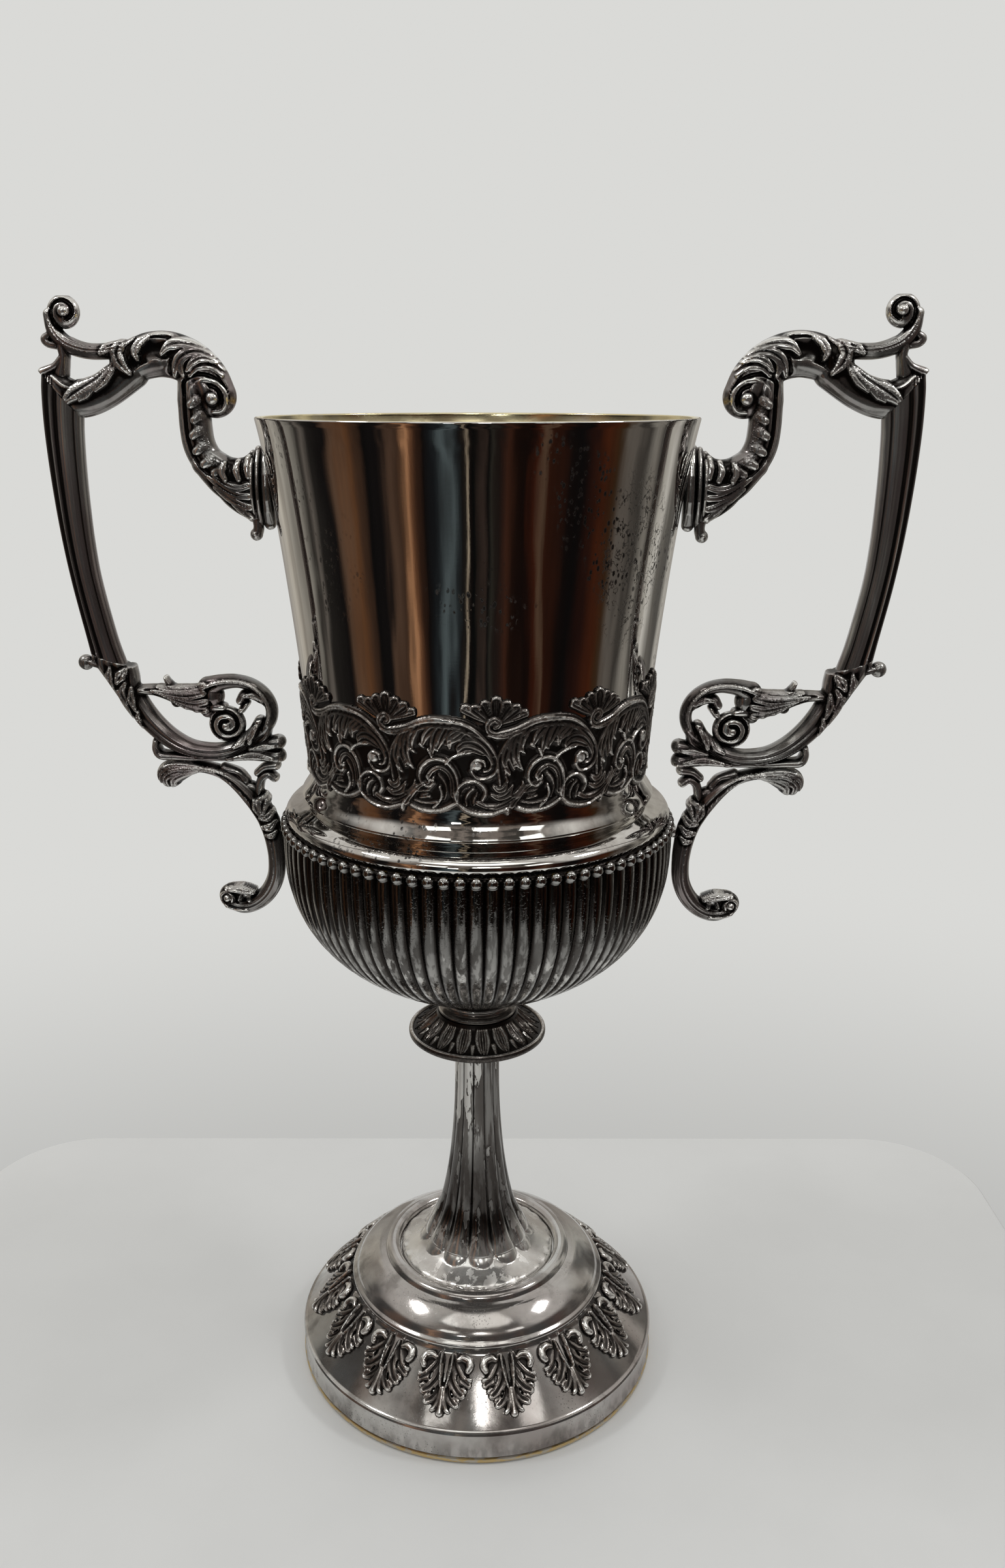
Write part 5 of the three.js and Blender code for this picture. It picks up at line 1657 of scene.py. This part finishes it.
def leg_scroll():
    """S-shaped leg with a rolled top, a small hook towards the cup and a leafy curl at its foot."""
    part = Casting((73.8, 192.5), (124.2, 255.2), 6.4, GRAIN)
    part.bar(
        3.4, 4.0,
        [(116, 251.4), (110, 252.6), (104, 252.5), (98, 250.9), (92.5, 247.6), (87.4, 242.6), (83, 236.8),
         (80.0, 231), (78.4, 224), (77.7, 216.5), (78.3, 209), (81.2, 202.6), (85.8, 198.2), (91.2, 196.3),
         (96.6, 197.6)],
        taper=(0.8, 0.62, 0.62, 0.68, 0.95, 1.12, 1.2, 1.2, 1.06, 0.98, 0.98, 1.0, 1.0, 0.95, 0.8),
        rims=[(0.72, 0.16, 0.6), (0.3, 0.13, 0.45), (-0.15, 0.13, 0.3)],
    )
    # Rolled top, hook towards the cup and the curl at the foot.
    part.ball(5.2, 3.9, (116.8, 249.6))
    part.bar(2.6, 3.8, [(104, 252.4), (109, 252.0), (114.6, 250.4)], taper=(0.6, 1.1, 1.7))
    part.bar(1.6, 3.6, [(106, 253.4), (113, 253.6), (118, 252.6)], taper=(0.5, 1, 1.2))
    part.bar(1.7, 3.7, [(82.6, 239), (83.0, 244), (82.0, 248.2), (79.4, 250.2), (76.8, 248.6)],
             taper=(1.3, 1, 1, 1, 0.95),
             rims=[(0.6, 0.2, 0.5)])
    part.bar(1.7, 3.4, [(83.4, 250.6), (80.4, 252.9), (76.4, 253.6)], taper=(0.9, 1.0, 1.2))
    part.bar(2.3, 3.2, [(88, 245.4), (84.6, 244), (81, 240)])
    part.bar(2.0, 3.2, [(96, 252.2), (90.6, 250.8), (88, 247.6)], taper=(1, 0.7, 0.9))
    part.ball(4.8, 4.0, (96.2, 200.2))
    part.bar(1.9, 3.6, [(87.4, 202.2), (91, 203.2), (96, 203.0)], taper=(0.8, 1, 1))
    part.trim((70, LEG_TOP - 0.3), (150, LEG_TOP - 0.3), -1)

    carve = part.relief
    carve.strokes("round", 0.55, 0.8, [
        [(89.6, 195.6), (95, 195.6), (99.2, 198), (99.8, 201.2), (97.4, 202.8), (95.2, 201.4), (95.4, 199)],
    ])
    carve.ball(1.5, 1.5, (97.2, 200.4))
    carve.strokes("groove", 0.6, 0.9, [
        [(93.2, 198.6), (94, 201.6), (96.4, 203.2)], [(80.2, 245.6), (82.6, 241.6)],
        [(99, 251.2), (93.2, 247.4), (88, 242), (84.6, 237.4)],
    ])
    # Leaf that rolls over the top of the leg.
    carve.strokes("leaf", 1.5, 1.2, [
        [(103.6, 253), (110, 253.8), (116, 253.6), (120.4, 251), (121, 247)],
        [(104.6, 251.8), (110, 251.8), (115, 251), (118.4, 248.6), (118.2, 245.4)],
        [(107, 250.8), (111.6, 250), (115, 248), (115.4, 245)],
    ], taper=(0.4, 0.9, 1.1, 0.8), matted=True)
    carve.strokes("leaf", 1.9, 1.3, [
        ([(79.6, 242), (81.4, 239.4), (81.6, 236)], 2.8, 1.5),
        ([(84.6, 240.6), (84, 237.2), (82.4, 234.4)], 1.4),
        ([(77.8, 236.2), (79.6, 234), (82.6, 233.4)], 1.7),
        ([(77.2, 231.8), (79, 230), (82, 229.6)], 1.7),
        ([(77, 228), (78.4, 226.6), (80.6, 226.4)], 1.3),
        ([(86.8, 202.6), (89.8, 203.4), (93.4, 203.9), (97.6, 203.8)], 1.5),
        ([(88.6, 199.4), (90.6, 201.4), (92.6, 199.4)], 1.4),
        ([(96, 251), (101, 252.2), (108, 252.4)], 0.9, 0.7),
    ], taper=(0.5, 1.1, 0.5), matted=True)
    part.carve()
    return part.mesh()


def mount_plate():
    """Oval stepped plate that sits on the wall, with a curled finial below it."""
    part = Casting((69, 336), (83.5, 371.5), 8.4, GRAIN)
    oval = (0.3, 0.72, 0.92, 1, 0.92, 0.72, 0.3)
    steps = [(79.4, 0.95, 368.4, 345.4), (77.4, 1.2, 369.6, 344), (74.4, 2.2, 369.8, 343.6)]
    for reach, half, top, bottom in steps:
        middle = (top + bottom) / 2
        upright = [(reach, height) for height in (bottom, middle - 5, middle + 5, top)]
        part.bar(half, 7.8, upright, deepen=oval, square=2.6)
    part.bar(1.7, 2.8, [(78.6, 346), (78.8, 341.6), (79.6, 339.8)], taper=(1.5, 1.1, 1.2))
    part.ball(2.3, 2.8, (79.6, 339.8))
    part.ball(1.2, 3.3, (79.9, 340.2))
    part.keep_outside(radius_at(part.z) + 0.15)
    return part.mesh()


def bowl_lug():
    """Bead between the leg and the bowl."""
    part = Casting((73.5, 226.4), (76.2, 232.2), 2.8, 0.2)
    part.ball(2.5, 2.5, (74.4, 229.3))
    part.trim((75.2, 200), (75.2, 260), 1)
    part.trim((73.75, 200), (73.75, 260), -1)
    return part.mesh()


class TROPHY_OT_handles(bpy.types.Operator):
    """Two cast handles, each in six pieces, the left one turned half round from the right"""
    bl_idname = "trophy.handles"
    bl_label = "Handles"

    def execute(self, context):
        finish = context.scene.cup_finish
        cast, glossy = handle_silver(finish), grip_silver(finish)
        for name, make in {
            "upper_scroll": upper_scroll, "grip": grip, "lower_scroll": lower_scroll,
            "leg_scroll": leg_scroll,
            "mount_plate": mount_plate, "bowl_lug": bowl_lug,
        }.items():
            points, faces, numbers = make()
            silver = glossy if name == "grip" else cast
            for side, sign in (("right", 1), ("left", -1)):
                new_piece(
                    f"{side}_{name}_cast", points * (sign, sign, 1), faces, [silver],
                    [f"{side}_{name}"], sharp=60, numbers=numbers,
                )
        return {"FINISHED"}


# ------------------------------------------------------------------ stage


# How much of the light polished plate gives back.
PLATE_SHARE = 0.72

# Upright bands of the room, by degrees round from the front and by screen colour as seen in the metal.
ROOM_BANDS = [
    (-168, (125, 120, 114)), (-152, (140, 136, 130)), (-141, (165, 160, 150)), (-129, (125, 120, 112)),
    (-124, (140, 136, 128)), (-113, (105, 102, 96)), (-108, (40, 37, 34)), (-104, (85, 80, 75)),
    (-98, (30, 28, 26)), (-85, (14, 12, 12)), (-80, (74, 56, 44)), (-71, (76, 50, 32)), (-66, (50, 35, 26)),
    (-60, (10, 9, 9)), (-51, (14, 12, 12)), (-47, (64, 48, 38)), (-42.5, (46, 32, 24)),
    (-39, (138, 100, 72)), (-35, (84, 56, 38)), (-31, (50, 32, 22)), (-27, (14, 10, 9)),
    (-20, (18, 20, 22)), (-16, (66, 74, 76)), (-12, (12, 13, 15)), (-9.4, (26, 22, 18)),
    (-8.4, (136, 124, 108)), (-7.2, (14, 10, 9)), (-3, (5, 7, 7)), (0, (40, 32, 28)), (3, (7, 7, 7)),
    (7, (34, 32, 28)), (10, (22, 16, 14)), (16, (46, 26, 18)), (22, (24, 13, 9)), (29, (12, 7, 6)),
    (34, (42, 18, 10)), (37.6, (70, 54, 42)), (39.4, (36, 17, 10)), (48, (13, 8, 7)), (57, (9, 8, 8)),
    (62, (26, 13, 10)), (74, (52, 24, 12)), (81, (44, 30, 18)), (88, (76, 71, 66)), (94, (43, 40, 37)),
    (104, (108, 104, 98)), (108, (46, 43, 40)), (113, (145, 142, 135)), (118, (165, 162, 156)),
    (129, (84, 81, 76)), (138, (66, 64, 61)), (148, (150, 147, 140)), (168, (125, 120, 114)),
]


def linear(channel):
    """Linear light of an 8-bit screen value."""
    share = channel / 255
    return share / 12.92 if share <= 0.04045 else ((share + 0.055) / 1.055) ** 2.4


def band_colours(graph, share):
    """The colour of ROOM_BANDS at a share of the way round. A ramp holds no more than 32 stops, so
    there are two, which meet at the middle band."""
    middle = len(ROOM_BANDS) // 2
    ramps = []
    for bands in (ROOM_BANDS[: middle + 1], ROOM_BANDS[middle:]):
        stops = [
            (degrees / 360 + 0.5, tuple(linear(channel) / PLATE_SHARE for channel in colour))
            for degrees, colour in bands
        ]
        ramps.append(graph.add("ShaderNodeValToRGB", {"stops": stops}, {0: share}))
    meeting = ROOM_BANDS[middle][0] / 360 + 0.5
    return graph.blend(share.over(meeting - 0.0005, meeting + 0.0005), *ramps)


def room_card():
    """What stands on the viewer's side of the room, seen only in the metal: upright bands of dark
    doorways, timber and pale wall, with a lit ceiling above and a dark floor below."""
    material = bpy.data.materials.new("room_card")
    graph = Graph(material)
    x, y, z = (graph.axis(key) for key in "XYZ")
    angle = graph.add("ShaderNodeMath", {"operation": "ARCTAN2"}, {0: x, 1: y * -1.0})
    ahead = angle * angle
    slow, middling, fine = (
        graph.noise(2.6, 2, (1, 1, 0.8)), graph.noise(4.5, 2, (1, 1, 1.8), turn=3.0), graph.noise(9.0, 3),
    )
    sway = (slow - 0.5) * 0.42 + (fine - 0.5) * 0.07 + (middling - 0.5) * 0.22
    colour = band_colours(graph, (angle + sway) / FULL_TURN + 0.5)
    beams = graph.blend(graph.noise(4.0, 3).over(0.42, 0.58), (0.05, 0.045, 0.04), (0.20, 0.17, 0.15))
    ceiling = graph.blend(ahead.over(0.45, 1.3), beams, (0.58, 0.56, 0.53))
    lit = graph.blend(z.over(0.62, 1.05), colour, ceiling)
    lit = graph.blend(z.over(-0.78, -0.42), (0.035, 0.032, 0.03), lit)
    # A row of lamps and a skylight.
    row = z.over(0.90, 0.93) * (1 - z.over(1.14, 1.17)) * (1 - ahead.over(0.60, 0.68))
    waves = graph.add("ShaderNodeMath", {"operation": "SINE"}, {0: angle * 11.0 + 0.5})
    skylight = z.over(1.43, 1.45) * (1 - z.over(1.575, 1.585)) * (1 - ahead.over(0.70, 0.80))
    lit = graph.blend(row * waves.over(-0.15, 0.0) + skylight, lit, (1.5, 1.5, 1.45))
    grain = graph.noise(9.0, 4, (1, 1, 0.2)) * 0.6 + 0.7
    glow = graph.add("ShaderNodeEmission", {}, {"Color": lit, "Strength": grain})
    graph.add("ShaderNodeOutputMaterial", {}, {"Surface": glow})
    return material


def table_pale(colour):
    """A plain matt table with a faint mottle."""
    material = bpy.data.materials.new("table_pale")
    graph = Graph(material)
    mottle = graph.noise(14, 4).over(0.35, 0.7)
    tint = graph.blend(mottle * 0.5, colour, shaded(colour, 0.94))
    surface = graph.add("ShaderNodeBsdfPrincipled", {}, {"Base Color": tint, "Roughness": 0.45})
    graph.add("ShaderNodeOutputMaterial", {}, {"Surface": surface})
    return material


def stage_mesh(name, points, faces, material):
    """A mesh that is there for the picture only."""
    mesh = bpy.data.meshes.new(name)
    mesh.from_pydata(points, [], faces)
    mesh.materials.append(material)
    piece = bpy.data.objects.new(name, mesh)
    bpy.context.scene.collection.objects.link(piece)
    piece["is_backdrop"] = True
    return piece


def add_lamp(name, place, aim, size, power):
    """A soft rectangular lamp that points at a place."""
    light = bpy.data.lights.new(name, "AREA")
    light.shape, light.size, light.size_y = "RECTANGLE", size[0], size[1]
    light.energy = power
    lamp = bpy.data.objects.new(name, light)
    lamp.location = place
    lamp.rotation_euler = (Vector(aim) - Vector(place)).to_track_quat("-Z", "Y").to_euler()
    bpy.context.scene.collection.objects.link(lamp)


class TROPHY_OT_stage(bpy.types.Operator):
    """Pale table, soft light, the room seen in the metal, and the camera"""
    bl_idname = "trophy.stage"
    bl_label = "Stage"

    def execute(self, context):
        stage = context.scene.cup_stage
        self.add_table(stage)
        self.add_room(stage)
        self.add_world(stage)
        power = stage.lamp_power
        add_lamp("lamp_left", (-0.74, -0.10, 1.20), (0, 0, 0.2), (0.24, 0.16), power)
        add_lamp("lamp_right", (0.80, -0.02, 1.15), (0, 0, 0.2), (0.22, 0.15), power)
        add_lamp("lamp_window", (0.10, -0.95, 0.98), (0, 0, 0.1), (0.11, 0.10), power * 0.2)
        add_lamp("lamp_shop", (-0.20, -1.02, 0.62), (0, 0, 0.1), (0.10, 0.06), power * 0.1)
        self.add_camera(stage)
        context.scene.view_settings.view_transform = "Standard"
        return {"FINISHED"}

    def add_world(self, stage):
        """A pale room all round, a little darker below."""
        world = bpy.data.worlds.new("pale_room")
        bpy.context.scene.world = world
        graph = Graph(world)
        direction = graph.add("ShaderNodeTexCoord", output="Generated")
        rise = graph.add("ShaderNodeSeparateXYZ", {}, {0: direction}, output="Z")
        shade = graph.blend(rise.over(-0.60, -0.34), shaded(stage.sky, 0.70), stage.sky)
        sky = graph.add("ShaderNodeBackground", {}, {"Color": shade, "Strength": 1.0})
        graph.add("ShaderNodeOutputWorld", {}, {"Surface": sky})

    def add_camera(self, stage):
        """The camera, in front of the cup and a little to its right, looking down."""
        camera_data = bpy.data.cameras.new("camera")
        camera_data.lens = stage.lens
        camera_data.sensor_width = 36
        camera_data.shift_x = stage.shift
        camera = bpy.data.objects.new("camera", camera_data)
        back, turn = stage.camera_back, stage.camera_turn
        camera.location = (back * math.sin(turn), -back * math.cos(turn), stage.camera_height)
        camera.rotation_euler = (math.pi / 2 - stage.camera_pitch, 0, turn)
        camera.rotation_euler.rotate_axis("Z", stage.camera_roll)
        bpy.context.scene.collection.objects.link(camera)
        bpy.context.scene.camera = camera

    def add_table(self, stage):
        """A pale slab with rounded corners. Its back edge lies a little behind the cup."""
        left, right, front, back, corner, thick = -0.252, 0.256, -0.45, 0.151, 0.05, 0.02
        centres = [(right, back, 0), (left, back, 90), (left, front, 180), (right, front, 270)]
        rim = []
        for x, y, start in centres:
            x, y = x - math.copysign(corner, x), y - math.copysign(corner, y)
            for turn in np.radians(np.arange(start, start + 91, 6)):
                rim.append((x + corner * math.cos(turn), y + corner * math.sin(turn)))
        count = len(rim)
        # The top, the foot of its small bevel and the bottom, as (how far it spreads, height).
        levels = [(0.0, -0.0005), (0.0015, -0.002), (0.0015, -thick)]
        points = [
            (x * (1 + spread * 4), y + math.copysign(spread, y), height)
            for spread, height in levels for x, y in rim
        ]
        faces = [list(range(count)), list(range(3 * count - 1, 2 * count - 1, -1))]
        faces += grid_faces(len(levels), count, wrap_columns=True)[:, ::-1].tolist()
        table = stage_mesh("table", points, faces, table_pale(stage.floor))
        table.rotation_euler.z = stage.camera_turn

    def add_room(self, stage):
        """A sheet bent round the viewer's side, from below the table up and over as a ceiling."""
        arc = np.radians(np.linspace(-168, 168, 96))
        rings = [(0.5, -0.95), (1.15, -0.8), (1.15, 1.0), (0.95, 1.35), (0.55, 1.55), (0.02, 1.62)]
        points = [(r * math.sin(a), -r * math.cos(a), z) for r, z in rings for a in arc]
        faces = grid_faces(len(rings), len(arc)).tolist()
        card = stage_mesh("room_card", points, faces, room_card())
        card.rotation_euler.z = stage.camera_turn
        for ray in ("camera", "diffuse", "shadow", "transmission"):
            setattr(card, f"visible_{ray}", False)


class TROPHY_PT_panel(bpy.types.Panel):
    """The cup's pieces, in the order they are made"""
    bl_idname = "TROPHY_PT_panel"
    bl_label = "Trophy"
    bl_space_type = "VIEW_3D"
    bl_region_type = "UI"
    bl_category = "Trophy"

    def draw(self, context):
        for settings in (context.scene.cup_shape, context.scene.cup_finish, context.scene.cup_stage):
            for key in settings.bl_rna.properties.keys():
                if key not in {"rna_type", "name"}:
                    self.layout.prop(settings, key)
        for operator in OPERATORS:
            self.layout.operator(operator.bl_idname)


SETTINGS = {
    "cup_shape": CupShapeSettings,
    "cup_finish": CupFinishSettings,
    "cup_stage": StageSettings,
}
OPERATORS = [
    TROPHY_OT_stage, TROPHY_OT_wall, TROPHY_OT_bowl, TROPHY_OT_neck, TROPHY_OT_stem, TROPHY_OT_foot,
    TROPHY_OT_foot_leaves, TROPHY_OT_frieze, TROPHY_OT_handles,
]


def register():
    """Makes the settings, the operators and the panel known to Blender."""
    for kind in [*SETTINGS.values(), *OPERATORS, TROPHY_PT_panel]:
        bpy.utils.register_class(kind)
    for key, kind in SETTINGS.items():
        setattr(bpy.types.Scene, key, PointerProperty(type=kind))


def unregister():
    """Takes them away again."""
    for key in SETTINGS:
        delattr(bpy.types.Scene, key)
    for kind in reversed([*SETTINGS.values(), *OPERATORS, TROPHY_PT_panel]):
        bpy.utils.unregister_class(kind)


def main():
    """Builds the whole cup and works out its size beside that of the CAD."""
    register()
    bpy.ops.trophy.stage()
    bpy.ops.trophy.wall()
    bpy.ops.trophy.bowl()
    bpy.ops.trophy.neck()
    bpy.ops.trophy.stem()
    bpy.ops.trophy.foot()
    bpy.ops.trophy.foot_leaves()
    bpy.ops.trophy.frieze()
    bpy.ops.trophy.handles()
    boxes = {"cad": CAD_BOX, "visual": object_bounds()}
    {key: [list(corner) for corner in box] for key, box in boxes.items()}


if __name__ == "__main__":
    main()
